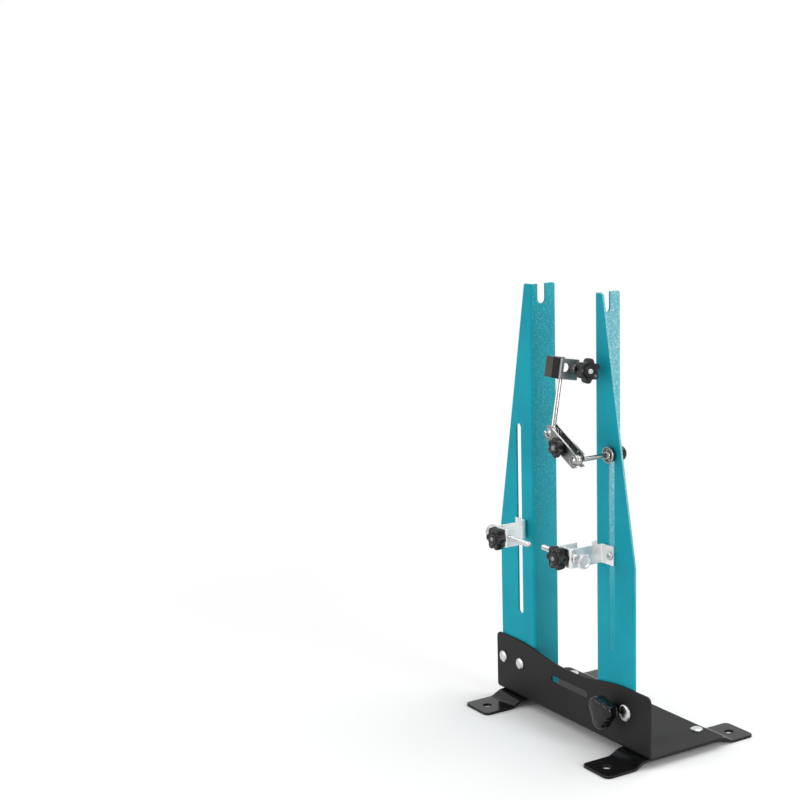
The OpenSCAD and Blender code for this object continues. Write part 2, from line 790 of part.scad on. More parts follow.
// A clamp plate from y to y + plate_t: two ball seats and a notch in each round end
module clamp_plate(y) {
    color(dark_steel) on_clamp() difference() {
        stand_xz(y, plate_t) difference() {
            translate([-ball_pitch / 2, 0]) slot_2d(ball_pitch, plate_w);
            for (x = [0, -ball_pitch]) translate([x, 0]) circle(d = seat_d);
            for (x = [0, -ball_pitch - plate_w]) translate([x, -notch_w / 2]) square([plate_w, notch_w]);
        }
        to_back(-ball_pitch / 2, y, 0) hole(stud_d, plate_t);
    }
}

module ball_clamp_front() { clamp_plate(-half_gap - plate_t); }
module ball_clamp_back() { clamp_plate(half_gap); }

module ball_clamp_stud() {
    back = half_gap + plate_t + thread_past;
    color(zinc) on_clamp() to_front(-ball_pitch / 2, back, 0)
        cylinder(d = stud_d, h = back + half_gap + plate_t + star_hub_h + clamp_star_t + stud_out);
}

module ball_clamp_knob() {
    color(plastic) on_clamp() to_front(-ball_pitch / 2, -half_gap - plate_t, 0)
        star_knob(clamp_star_d, clamp_star_t);
}

// ------------------------------------------------------------ disc gauge

// The upper rod's frame: the upper ball is at 0 and the rod goes up +Z
module on_upper() {
    translate([upper_x, ball_y, upper_z]) rotate([-rod_lean, 0, 0]) children();
}

head_x0 = head_near - head_w;
head_back = head_wall - head_front;
head_hole_z = head_foot + head_hole_up;

module upper_rod() {
    color(zinc) on_upper() {
        sphere(d = ball_d);
        cylinder(d = rod_d, h = head_foot);
        cylinder(d = rod_end_d, h = head_foot + head_t + small_nut_h + stud_out);
    }
}

module rod_nut() {
    color(zinc) on_upper() translate([0, 0, head_foot + head_t])
        rotate(30) hex_nut(small_nut_af, small_nut_h, rod_end_d);
}

// Plan of the disc gauge in (x, y): a front with a wall at each end
module head_plan() {
    for (m = [0, 1]) translate([(head_x0 + head_near) / 2, -head_front]) mirror([m, 0]) {
        translate([-head_w / 2, 0]) bend_2d(head_bend, head_t);
        translate([-head_w / 2 + head_bend, 0]) square([head_w / 2 - head_bend, head_t]);
        translate([-head_w / 2, head_bend]) square([head_t, head_wall - head_bend]);
    }
}

module disc_gauge_bracket() {
    tab_x1 = head_near - head_t - gap;
    color(dark_steel) on_upper() difference() {
        union() {
            translate([0, 0, head_foot]) linear_extrude(head_h) head_plan();
            translate([tab_x1 - foot_tab_w, -head_front + head_t / 2, head_foot])
                cube([foot_tab_w, head_front - head_t / 2 + foot_tab_back, head_t]);
        }
        translate([0, 0, head_foot]) hole(rod_end_d, head_t);
        to_right(head_x0 - cut, head_hole_back, head_hole_z)
            cylinder(d = head_hole_d, h = head_w + 2 * cut);
        to_right(head_near - head_t, disc_screw_back, head_hole_z) hole(disc_screw_d, head_t);
    }
}

module disc_screw_nut() {
    color(zinc) on_upper() to_right(head_near, disc_screw_back, head_hole_z)
        hex_nut(disc_nut_af, disc_nut_h, disc_screw_d);
}

module disc_gauge_screw() {
    color(zinc) on_upper() to_right(head_near - head_t - disc_tip, disc_screw_back, head_hole_z)
        cylinder(d = disc_screw_d, h = disc_tip + head_t + disc_stem + disc_hub_h + star_t + stud_out);
}

module disc_gauge_knob() {
    color(plastic) on_upper() to_right(head_near + disc_stem, disc_screw_back, head_hole_z)
        star_knob(star_d, star_t, disc_hub_h);
}

base_plate();
left_foot();
right_foot();
foot_rivets();
left_upright();
upright_rivets();
right_upright();
guide_bolt();
guide_nut();
clamp_knob();
clamp_stud();
clamp_nut();
left_gauge_bracket();
left_slot_screw();
left_slot_nut();
left_thread_block();
left_screw_bush();
left_gauge_screw();
left_lock_knob();
left_lock_stud();
right_gauge_bracket();
right_slot_screw();
right_slot_nut();
right_thread_block();
right_screw_bush();
right_gauge_screw();
right_lock_knob();
right_lock_stud();
lower_rod();
arm_cup_washer();
arm_washer();
arm_lock_knob();
ball_clamp_front();
ball_clamp_back();
ball_clamp_stud();
ball_clamp_knob();
upper_rod();
rod_nut();
disc_gauge_bracket();
disc_screw_nut();
disc_gauge_screw();
disc_gauge_knob();
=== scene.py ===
"""Dresses the bicycle wheel truing stand: rounded sheet steel, paint, plating and screw threads.

Every new surface is a grid of points worked out with numpy from the sizes of the part, and every
bent sheet is a copy of its solid, merged, bevelled and smoothed. Lengths are in millimetres until
a mesh is made, which is in metres.
"""

import logging
import math
from dataclasses import dataclass
from enum import Enum
from typing import Callable, Optional, Sequence

import bmesh
import bpy
import numpy as np
from mathutils import Matrix, Vector


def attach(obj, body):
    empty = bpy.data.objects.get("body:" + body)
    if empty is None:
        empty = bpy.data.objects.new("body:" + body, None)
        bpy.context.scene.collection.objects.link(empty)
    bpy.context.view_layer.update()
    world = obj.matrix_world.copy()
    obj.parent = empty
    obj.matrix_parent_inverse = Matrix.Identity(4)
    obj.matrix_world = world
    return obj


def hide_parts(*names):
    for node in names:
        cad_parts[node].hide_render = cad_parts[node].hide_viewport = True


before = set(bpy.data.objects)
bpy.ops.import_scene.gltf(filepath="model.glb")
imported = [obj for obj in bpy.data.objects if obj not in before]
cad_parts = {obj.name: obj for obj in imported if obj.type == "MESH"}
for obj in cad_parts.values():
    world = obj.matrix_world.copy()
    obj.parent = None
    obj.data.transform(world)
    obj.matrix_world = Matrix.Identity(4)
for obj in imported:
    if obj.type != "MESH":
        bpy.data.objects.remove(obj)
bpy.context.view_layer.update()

LOG = logging.getLogger("truing_stand")
MM = 0.001  # metres in a millimetre
TURN = 2 * math.pi
TINY = 1e-6  # keeps a divisor off nought and a cut on its plane
NO_CAP = 1000.0  # a radius that no piece reaches, in mm
WELD = 2e-6  # points nearer than this become one, in metres
THIN_EDGE = 1e-7  # edges shorter than this go, in metres
FLAT_ANGLE = math.radians(0.4)  # faces that meet at less than this are joined
BEND_ANGLE = math.radians(26)  # edges of sheets are rounded above this
HARD_ANGLE = math.radians(38)  # edges of turned pieces stay hard above this
ACROSS = 0.7  # a face looks across an axis where the cosine between them is below this
HAIR = 0.02  # gap that keeps two faces out of one plane, in mm
WHITE = (1.0, 1.0, 1.0, 1.0)

Colour = tuple[float, float, float]
Triple = tuple[float, float, float]


# ---------------------------------------------------------------- names


class Slot(Enum):
    """Material slots of the record, one for each finish of the stand."""

    BASE = "powder_black"
    UPRIGHT = "teal_paint"
    RIVET = "rivet_zinc"
    STRIP = "strip_zinc"
    FASTENER = "fastener_zinc"
    SCREW = "screw_steel"
    ROD = "rod_chrome"
    CLAMP = "clamp_steel"
    HEAD = "head_steel"
    KNOB = "knob_black"
    WASHER = "washer_black"


class Toward(Enum):
    """Ways that a turned piece can point: its x, y and z axes as rows in the shared frame."""

    UP = ((1, 0, 0), (0, 1, 0), (0, 0, 1))
    FRONT = ((1, 0, 0), (0, 0, 1), (0, -1, 0))
    BACK = ((1, 0, 0), (0, 0, -1), (0, 1, 0))
    RIGHT = ((0, 0, -1), (0, 1, 0), (1, 0, 0))
    LEFT = ((0, 0, 1), (0, 1, 0), (-1, 0, 0))


@dataclass(frozen=True)
class Place:
    """Where a piece stands: an origin in millimetres and its three axes as rows."""

    origin: np.ndarray
    axes: np.ndarray

    @staticmethod
    def at(x: float, y: float, z: float, toward: Toward = Toward.UP) -> "Place":
        """Returns the place at a point of the shared frame, with its z axis that way."""
        return Place(np.array([x, y, z], float), np.array(toward.value, float))

    def put(self, points: np.ndarray) -> np.ndarray:
        """Returns points of this place in the shared frame."""
        return self.origin + points @ self.axes

    def inner(self, x: float, y: float, z: float, toward: Toward = Toward.UP) -> "Place":
        """Returns the place at a point of this one, turned within it."""
        point = np.array([x, y, z], float)
        return Place(self.put(point), np.array(toward.value, float) @ self.axes)

    def turned(self, axis: int, degrees: float) -> "Place":
        """Returns this place turned right-handed about its own x, y or z axis: 0, 1 or 2."""
        turn = np.array(Matrix.Rotation(math.radians(degrees), 3, "XYZ"[axis]), float)
        return Place(self.origin, turn.T @ self.axes)


# ---------------------------------------------------------------- surfaces


@dataclass(frozen=True)
class Corner:
    """One corner of a profile.

    The radius there is share times the outline plus ring, and at most cap. Rounding is how far
    the soft corner reaches along its two sides.
    """

    share: float
    ring: float
    z: float
    rounding: float = 0.0
    cap: float = NO_CAP


def at(radius: float, z: float, rounding: float = 0.0) -> Corner:
    """Returns a corner of a plain turned profile."""
    return Corner(0.0, radius, z, rounding)


@dataclass(frozen=True)
class Shell:
    """A grid of points with its surface coordinates and its share of edge wear."""

    points: np.ndarray
    along: np.ndarray
    rim: np.ndarray


Parts = Sequence[tuple[Shell, Place]]


def profile(corners: Sequence[Corner], reference: float = 10.0, steps: int = 4) -> np.ndarray:
    """Rounds the corners of a profile.

    Each corner becomes a parabola: (1-s)^2 times a point before it, plus 2s(1-s) times the
    corner, plus s^2 times a point after it. The two points lie on its sides, one rounding away.

    Args:
        corners: The profile's corners in order.
        reference: The outline radius used to measure the sides, in mm.
        steps: Steps along each rounded corner.

    Returns:
        Rows of share, ring, z, cap, distance along the profile, and edge wear.
    """
    raw = np.array([(c.share, c.ring, c.z, c.cap) for c in corners], float)
    soft = np.array([c.rounding for c in corners], float)[:, None]
    before = np.vstack([raw[:1], raw[:-1]]) - raw
    after = np.vstack([raw[1:], raw[-1:]]) - raw

    def reach(side: np.ndarray) -> np.ndarray:
        """Returns the part of a side that the rounding takes."""
        length = np.hypot(side[:, 0] * reference + side[:, 1], side[:, 2])[:, None]
        return side * np.minimum(0.5, soft / np.maximum(length, TINY))

    s = np.linspace(0, 1, steps + 1)[None, :, None]
    start = (raw + reach(before))[:, None]
    end = (raw + reach(after))[:, None]
    rows = (1 - s) ** 2 * start + 2 * s * (1 - s) * raw[:, None] + s**2 * end
    rim = np.sin(np.pi * s) * (soft[:, None] > 0)
    rows = np.concatenate([rows, rim * np.ones_like(rows[..., :1])], axis=2).reshape(-1, 5)
    walk = np.hypot(np.diff(rows[:, 0] * reference + rows[:, 1]), np.diff(rows[:, 2]))
    along = np.concatenate([[0.0], np.cumsum(walk)])
    return np.column_stack([rows[:, :4], along, rows[:, 4]])


def turned(rows: np.ndarray, outline: Optional[np.ndarray] = None, columns: int = 64) -> Shell:
    """Turns a profile about z.

    The radius at an angle is the row's share of the outline plus its ring, and at most its cap.

    Args:
        rows: What profile() returns.
        outline: The outline's radius at each angle, its last value equal to its first.
        columns: Steps round the axis where there is no outline.

    Returns:
        The shell, its first and last columns at the same place.
    """
    if outline is None:
        outline = np.zeros(columns + 1)
    angle = np.linspace(0, TURN, len(outline))[None, :]
    radius = np.minimum(rows[:, :1] * outline[None, :] + rows[:, 1:2], rows[:, 3:4])
    height = rows[:, 2:3] + 0 * angle
    points = np.stack([radius * np.cos(angle), radius * np.sin(angle), height], axis=-1)
    return Shell(points, rows[:, 4], np.repeat(rows[:, 5:6], len(outline), axis=1))


def lobed(count: int, over: float, lobe: float, body: float, turn: float = 0.0) -> np.ndarray:
    """Outline of a knob with round lobes.

    A lobe is a slot from the middle outwards: across it the radius is half its width divided by
    the sine of the angle from its middle, and past its end centre it is the circle's. The larger
    of lobe and body is taken softly, as a sum of exponentials, which leaves fillets between them.

    Args:
        count: Number of lobes.
        over: Diameter over the lobes, in mm.
        lobe: Width of a lobe, in mm.
        body: Diameter between the lobes, in mm.
        turn: Angle of the first lobe, in degrees.

    Returns:
        The radius at each of 32 angles to the lobe for three lobes, 20 for more.
    """
    columns = count * (32 if count < 4 else 20)
    angle = np.linspace(0, TURN, columns + 1) - math.radians(turn)
    off = np.abs((angle + np.pi / count) % (TURN / count) - np.pi / count)
    half, centre = lobe / 2, (over - lobe) / 2
    sine = np.maximum(np.sin(off), TINY)
    side = np.where(off < np.pi / 2, half / sine, 0.0)
    inside = np.maximum(half**2 - (centre * np.sin(off)) ** 2, 0.0)
    tip = centre * np.cos(off) + np.sqrt(inside)
    past_end = (centre * np.sin(off) < half) & (tip * np.cos(off) >= centre)
    reach = np.where(past_end, tip, np.minimum(side, over / 2))
    softness = 0.45
    return softness * np.logaddexp(reach / softness, body / 2 / softness)


def hexagon(across_flats: float, columns: int = 72) -> np.ndarray:
    """Outline of a hexagon: half its width divided by the cosine of the angle from a flat."""
    angle = np.linspace(0, TURN, columns + 1)
    return across_flats / 2 / np.cos((angle + np.pi / 6) % (np.pi / 3) - np.pi / 6)


def knurled(diameter: float, teeth: int, depth: float) -> np.ndarray:
    """Outline of a straight knurl: a circle less half a cosine wave for each tooth."""
    angle = np.linspace(0, TURN, teeth * 4 + 1)
    return diameter / 2 - depth * (0.5 - 0.5 * np.cos(teeth * angle))


def thread(diameter: float, z0: float, z1: float, pitch: float = 1.0,
           columns: int = 28) -> Shell:
    """A screw thread between two heights.

    Row i lies on a helix: its height is z0 plus the pitch times the sum of i/6 and the angle's
    share of a turn, less one turn, held between z0 and z1. Its radius goes in turn through crest,
    flank and root, and both ends are chamfered and closed.

    Args:
        diameter: Outside diameter, in mm.
        z0: Lower end, in mm.
        z1: Upper end, in mm.
        pitch: Pitch of the thread, in mm.
        columns: Steps round the axis.

    Returns:
        The closed shell.
    """
    depth = 0.55 * pitch
    shape = diameter / 2 - depth * np.array([0.0, 0.0, 0.55, 1.0, 1.0, 0.55])
    steps = len(shape)
    count = int(math.ceil((z1 - z0) / pitch + 1)) * steps + 1
    row = np.arange(count)[:, None]
    angle = np.linspace(0, TURN, columns + 1)[None, :]
    height = np.clip(z0 + pitch * (row / steps + angle / TURN - 1), z0, z1)
    lead = diameter / 2 - depth + np.minimum(height - z0, z1 - height)
    radius = np.minimum(shape[row % steps] + 0 * angle, lead)
    points = np.stack([radius * np.cos(angle), radius * np.sin(angle), height], axis=-1)
    low, high = points[:1].copy(), points[-1:].copy()
    low[..., 2], high[..., 2] = z0, z1
    middle = np.array([0.0, 0.0, 1.0])
    points = np.concatenate([low * middle, low, points, high, high * middle])
    along = np.arange(len(points)) * pitch / steps
    rim = np.zeros(points.shape[:2])
    rim[2:-2] = np.isin(row % steps, (0, 1)) * np.ones_like(angle)
    return Shell(points, along, rim * 0.6)


def fine_thread(diameter: float, z0: float, z1: float, pitch: float = 0.8) -> Shell:
    """Returns the thread of a small screw between two heights."""
    return thread(diameter, z0, z1, pitch, columns=24)


def tube(path: np.ndarray, radius: float, columns: int = 12) -> Shell:
    """A round bar along a path.

    At each point of the path a circle stands on the plane across it, and the first and last
    circles shrink to their centres, which closes the ends.

    Args:
        path: Points along the middle of the bar, in mm, in the x-y plane.
        radius: Radius of the bar, in mm.
        columns: Steps round the bar.

    Returns:
        The closed shell.
    """
    path = np.vstack([path[:1], path, path[-1:]])
    size = np.full(len(path), radius)
    size[[0, -1]] = 0.0
    way = np.gradient(path, axis=0)
    way[[0, -1]] = way[[1, -2]]
    way /= np.linalg.norm(way, axis=1, keepdims=True)
    up = np.array([0.0, 0.0, 1.0])
    side = np.cross(way, up)
    angle = np.linspace(0, TURN, columns + 1)[None, :, None]
    circle = np.cos(angle) * side[:, None] + np.sin(angle) * up
    points = path[:, None] + size[:, None, None] * circle
    along = np.concatenate([[0.0], np.cumsum(np.linalg.norm(np.diff(path, axis=0), axis=1))])
    return Shell(points, along, np.zeros(points.shape[:2]))


class Pieces:
    """Makes mesh objects and dresses them."""

    def __init__(self) -> None:
        """Starts with no piece made."""
        self.made: list[bpy.types.Object] = []

    def shells(self, name: str, parts: Parts) -> bpy.types.Object:
        """Makes one object from shells.

        Each grid gives one quad between neighbouring rows and columns. The corners carry a UV of
        the turn round the axis and the millimetres along the profile, and the points carry rim.

        Args:
            name: Name of the object.
            parts: Each shell and where it stands.

        Returns:
            The object, with doubles merged and its faces pointing out.
        """
        points, quads, uvs, rims = [], [], [], []
        base = 0
        for shell, place in parts:
            rows, columns = shell.points.shape[:2]
            index = base + np.arange(rows * columns).reshape(rows, columns)
            quads.append(np.stack([index[:-1, :-1], index[:-1, 1:], index[1:, 1:],
                                   index[1:, :-1]], axis=-1).reshape(-1, 4))
            u = np.linspace(0, 1, columns)[None, :] + 0 * shell.along[:, None]
            v = shell.along[:, None] + 0 * u
            uvs.append(np.stack([u, v], axis=-1).reshape(-1, 2))
            points.append(place.put(shell.points.reshape(-1, 3)))
            rims.append(shell.rim.reshape(-1))
            base += rows * columns
        faces = np.concatenate(quads)
        mesh = bpy.data.meshes.new(name)
        mesh.from_pydata((np.concatenate(points) * MM).tolist(), [], faces.tolist())
        layer = mesh.uv_layers.new(name="turned")
        layer.data.foreach_set("uv", np.concatenate(uvs)[faces.reshape(-1)].reshape(-1))
        rim = mesh.attributes.new("rim", "FLOAT", "POINT")
        rim.data.foreach_set("value", np.concatenate(rims).astype(np.float32))
        grid = bmesh.new()
        grid.from_mesh(mesh)
        bmesh.ops.remove_doubles(grid, verts=grid.verts, dist=WELD)
        bmesh.ops.dissolve_degenerate(grid, edges=grid.edges, dist=THIN_EDGE)
        bmesh.ops.recalc_face_normals(grid, faces=grid.faces)
        grid.to_mesh(mesh)
        grid.free()
        return self.linked(name, mesh)

    def linked(self, name: str, mesh: bpy.types.Mesh) -> bpy.types.Object:
        """Shows a mesh in a new smooth object, with its hard edges kept.

        Args:
            name: Name of the object.
            mesh: The mesh.

        Returns:
            The object.
        """
        mesh.polygons.foreach_set("use_smooth", np.ones(len(mesh.polygons), bool))
        mesh.set_sharp_from_angle(angle=HARD_ANGLE)
        made = bpy.data.objects.new(name, mesh)
        bpy.context.scene.collection.objects.link(made)
        return made

    def dress(self, made: bpy.types.Object, finishes: Sequence["Finish"], body: str,
              slot: Slot, nodes: Sequence[str]) -> None:
        """Gives a piece its finish and its body, logs its slot and hides the nodes that it
        replaces.

        Args:
            made: The piece.
            finishes: Its finishes, in the order of its material indices.
            body: The body that it moves with.
            slot: The record's material slot.
            nodes: The nodes of the part that it replaces.
        """
        for finish in finishes:
            made.data.materials.append(finish.material())
        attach(made, body)
        if nodes:
            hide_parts(*nodes)
        self.made.append(made)
        LOG.info("%s: %d faces on %s, %s", made.name, len(made.data.polygons), body, slot.value)

    def turn(self, name: str, parts: Parts, finish: "Finish", body: str, slot: Slot,
             *nodes: str) -> None:
        """Makes one object from shells and dresses it."""
        self.dress(self.shells(name, parts), [finish], body, slot, nodes)

    def bend(self, node: str, cut: "SheetCut", finishes: Sequence["Finish"], body: str,
             slot: Slot) -> None:
        """Softens the copy of a sheet node and dresses it in that node's place."""
        self.dress(sheet_piece(node, cut), finishes, body, slot, [node])


@dataclass(frozen=True)
class SheetCut:
    """How the copy of a sheet part is softened.

    Attributes:
        bevel: Width of its rounded edges, in mm.
        planes: Places along y where the copy gets a row of points, in mm.
        reshape: Moves the points, as a whole array in mm.
        edge_axis: Faces that look across this axis show the second finish.
        band: Place along x beyond which those faces show the third finish, in mm, or None.
        joined: False keeps the triangles, where a merged face would overlap itself once its
            edges are rounded.
    """

    bevel: float = 0.5
    planes: tuple[float, ...] = ()
    reshape: Optional[Callable[[np.ndarray], np.ndarray]] = None
    edge_axis: Optional[np.ndarray] = None
    band: Optional[float] = None
    joined: bool = True


def sheet_mesh(node: str, cut: SheetCut) -> bpy.types.Mesh:
    """Copies a node's mesh, merges it and rounds its edges.

    Args:
        node: The node of the part.
        cut: How its edges are softened.

    Returns:
        The new mesh, with rim at 1 along the middle of each rounded edge.
    """
    mesh = bpy.data.meshes.new(node + "_sheet")
    work = bmesh.new()
    work.from_mesh(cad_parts[node].data)
    rim = work.verts.layers.float.new("rim")
    bmesh.ops.remove_doubles(work, verts=work.verts, dist=WELD)
    if cut.joined:
        bmesh.ops.dissolve_limit(work, angle_limit=FLAT_ANGLE, verts=work.verts,
                                 edges=work.edges)
    levels = [Vector((0, y, 0)) for y in cut.planes]
    levels += [] if cut.band is None else [Vector((cut.band, 0, 0))]
    for level in levels:
        whole = list(work.verts) + list(work.edges) + list(work.faces)
        bmesh.ops.bisect_plane(work, geom=whole, plane_co=level * MM,
                               plane_no=level.normalized(), dist=TINY)
    if cut.reshape is not None:
        places = np.array([v.co for v in work.verts]) / MM
        for vertex, place in zip(work.verts, cut.reshape(places) * MM):
            vertex.co = place
    work.normal_update()
    if cut.edge_axis is not None:
        axis = Vector(cut.edge_axis)
        for face in work.faces:
            face.material_index = int(abs(face.normal.dot(axis)) < ACROSS)
            if cut.band is not None and face.calc_center_median().x > cut.band * MM:
                face.material_index *= 2
    sharp = [e for e in work.edges if len(e.link_faces) == 2
             and e.calc_face_angle() > BEND_ANGLE]
    result = bmesh.ops.bevel(work, geom=sharp, offset=cut.bevel * MM, offset_type="OFFSET",
                             segments=2, profile=0.5, affect="EDGES", clamp_overlap=False,
                             material=-1)
    rounded = set(result["faces"])
    for vertex in work.verts:
        vertex[rim] = float(all(face in rounded for face in vertex.link_faces))
    work.to_mesh(mesh)
    work.free()
    for name in [a.name for a in mesh.attributes if a.name.startswith("custom_normal")]:
        mesh.attributes.remove(mesh.attributes[name])
    return mesh


def sheet_piece(node: str, cut: SheetCut) -> bpy.types.Object:
    """Makes an object of a softened sheet, its normals weighted so that flats stay flat.

    Args:
        node: The node of the part.
        cut: How its edges are softened.

    Returns:
        The object.
    """
    mesh = sheet_mesh(node, cut)
    made = bpy.data.objects.new(node + "_formed", mesh)
    mesh.polygons.foreach_set("use_smooth", np.ones(len(mesh.polygons), bool))
    bpy.context.scene.collection.objects.link(made)
    weighted = made.modifiers.new("flat faces", "WEIGHTED_NORMAL")
    weighted.mode = "FACE_AREA"
    weighted.weight = 50
    return made


# ---------------------------------------------------------------- finishes


class Graph:
    """A material's nodes, with short calls for the ones that the finishes share."""

    def __init__(self, name: str) -> None:
        """Makes an empty material with a Principled shader and its coordinates.

        Args:
            name: Name of the material.
        """
        self.made = bpy.data.materials.new(name)
        self.made.use_nodes = True
        self.tree = self.made.node_tree
        self.tree.nodes.clear()
        self.out = self.add("ShaderNodeOutputMaterial")
        self.shader = self.add("ShaderNodeBsdfPrincipled")
        self.join(self.shader.outputs["BSDF"], self.out.inputs["Surface"])
        coordinates = self.add("ShaderNodeTexCoord")
        self.uv = coordinates.outputs["UV"]
        self.mm = self.vector("SCALE", coordinates.outputs["Object"], scale=1 / MM)
        self.rim = self.add("ShaderNodeAttribute", attribute_name="rim").outputs["Fac"]

    def add(self, kind: str, **settings: object) -> bpy.types.Node:
        """Adds a node and sets its properties.

        Args:
            kind: Type of the node.
            settings: Its properties by name.

        Returns:
            The node.
        """
        node = self.tree.nodes.new(kind)
        for key, value in settings.items():
            setattr(node, key, value)
        return node

    def join(self, output: bpy.types.NodeSocket, target: bpy.types.NodeSocket) -> None:
        """Links an output to an input."""
        self.tree.links.new(output, target)

    def feed(self, target: bpy.types.NodeSocket, value: object) -> None:
        """Links an output to an input, or sets the input where the value is plain.

        Args:
            target: The input.
            value: An output, a number, a vector or a colour.
        """
        if isinstance(value, bpy.types.NodeSocket):
            self.join(value, target)
        else:
            target.default_value = value

    def give(self, key: str, value: object) -> None:
        """Feeds one input of the Principled shader."""
        self.feed(self.shader.inputs[key], value)

    def vector(self, operation: str, a: object, b: object = None,
               scale: float = 1.0) -> bpy.types.NodeSocket:
        """Adds an operation on vectors.

        Args:
            operation: Its name in Blender, such as MULTIPLY or SCALE.
            a: First vector.
            b: Second vector, or None.
            scale: Factor of SCALE.

        Returns:
            The resulting vector.
        """
        node = self.add("ShaderNodeVectorMath", operation=operation)
        self.feed(node.inputs[0], a)
        if b is not None:
            self.feed(node.inputs[1], b)
        if operation == "SCALE":
            node.inputs["Scale"].default_value = scale
        return node.outputs[0]

    def maths(self, operation: str, a: object, b: object = 0.0,
              clamp: bool = False) -> bpy.types.NodeSocket:
        """Adds an operation on numbers.

        Args:
            operation: Its name in Blender, such as MULTIPLY or ADD.
            a: First number.
            b: Second number.
            clamp: True holds the result from 0 to 1.

        Returns:
            The resulting number.
        """
        node = self.add("ShaderNodeMath", operation=operation, use_clamp=clamp)
        self.feed(node.inputs[0], a)
        self.feed(node.inputs[1], b)
        return node.outputs[0]

    def noise(self, scale: float, detail: float = 2.0, roughness: float = 0.5,
              at_: Optional[bpy.types.NodeSocket] = None) -> bpy.types.NodeSocket:
        """Adds a noise.

        Args:
            scale: One over the width of its features, in mm.
            detail: Number of finer layers.
            roughness: Strength of the finer layers, from 0 to 1.
            at_: Where it is read, the place in mm by default.

        Returns:
            The noise, from 0 to 1.
        """
        node = self.add("ShaderNodeTexNoise")
        node.inputs["Scale"].default_value = scale
        node.inputs["Detail"].default_value = detail
        node.inputs["Roughness"].default_value = roughness
        self.join(at_ or self.mm, node.inputs["Vector"])
        return node.outputs["Fac"]

    def cells(self, scale: float) -> bpy.types.NodeSocket:
        """Adds the distance to the nearest of scattered points.

        Args:
            scale: One over the distance between the points, in mm.

        Returns:
            That distance.
        """
        node = self.add("ShaderNodeTexVoronoi", feature="SMOOTH_F1")
        node.inputs["Scale"].default_value = scale
        node.inputs["Smoothness"].default_value = 0.6
        self.join(self.mm, node.inputs["Vector"])
        return node.outputs["Distance"]

    def between(self, value: object, low: float, high: float, to_low: float = 0.0,
                to_high: float = 1.0) -> bpy.types.NodeSocket:
        """Takes a value from one range to another, held at its ends.

        Args:
            value: The value.
            low: Start of its range.
            high: End of its range.
            to_low: Start of the new range.
            to_high: End of the new range.

        Returns:
            The new value.
        """
        node = self.add("ShaderNodeMapRange")
        self.feed(node.inputs["Value"], value)
        for key, number in (("From Min", low), ("From Max", high), ("To Min", to_low),
                            ("To Max", to_high)):
            node.inputs[key].default_value = number
        return node.outputs["Result"]

    def blend(self, share: object, a: object, b: object) -> bpy.types.NodeSocket:
        """Mixes two colours.

        Args:
            share: Share of the second colour, from 0 to 1.
            a: First colour.
            b: Second colour.

        Returns:
            The mixed colour.
        """
        node = self.add("ShaderNodeMix", data_type="RGBA")
        self.feed(node.inputs[0], share)
        for socket, value in ((node.inputs[6], a), (node.inputs[7], b)):
            self.feed(socket, (*value, 1.0) if isinstance(value, tuple) else value)
        return node.outputs[2]

    def bump(self, height: object, depth: float,
             below: Optional[bpy.types.NodeSocket] = None) -> bpy.types.NodeSocket:
        """Adds bumps.

        Args:
            height: Height of the bumps, from 0 to 1.
            depth: What a height of 1 means, in mm.
            below: The normal that the bumps lie on, or None.

        Returns:
            The bumped normal.
        """
        node = self.add("ShaderNodeBump")
        node.inputs["Strength"].default_value = 1.0
        node.inputs["Distance"].default_value = depth * MM
        self.feed(node.inputs["Height"], height)
        if below is not None:
            self.join(below, node.inputs["Normal"])
        return node.outputs["Normal"]

    def turning_marks(self, per_mm: float) -> bpy.types.NodeSocket:
        """Returns fine rings along the profile of a turned piece, from its own UV."""
        lines = self.vector("MULTIPLY", self.uv, (2.0, per_mm, 0.0))
        return self.noise(1.0, 2.0, 0.6, lines)


class Finish:
    """What every finish has: a name, and a material made once."""

    name: str

    def material(self) -> bpy.types.Material:
        """Returns the finish's material, made when it is first asked for."""
        found = bpy.data.materials.get(self.name)
        return found or self.make()

    def make(self) -> bpy.types.Material:
        """Makes the material."""
        raise NotImplementedError


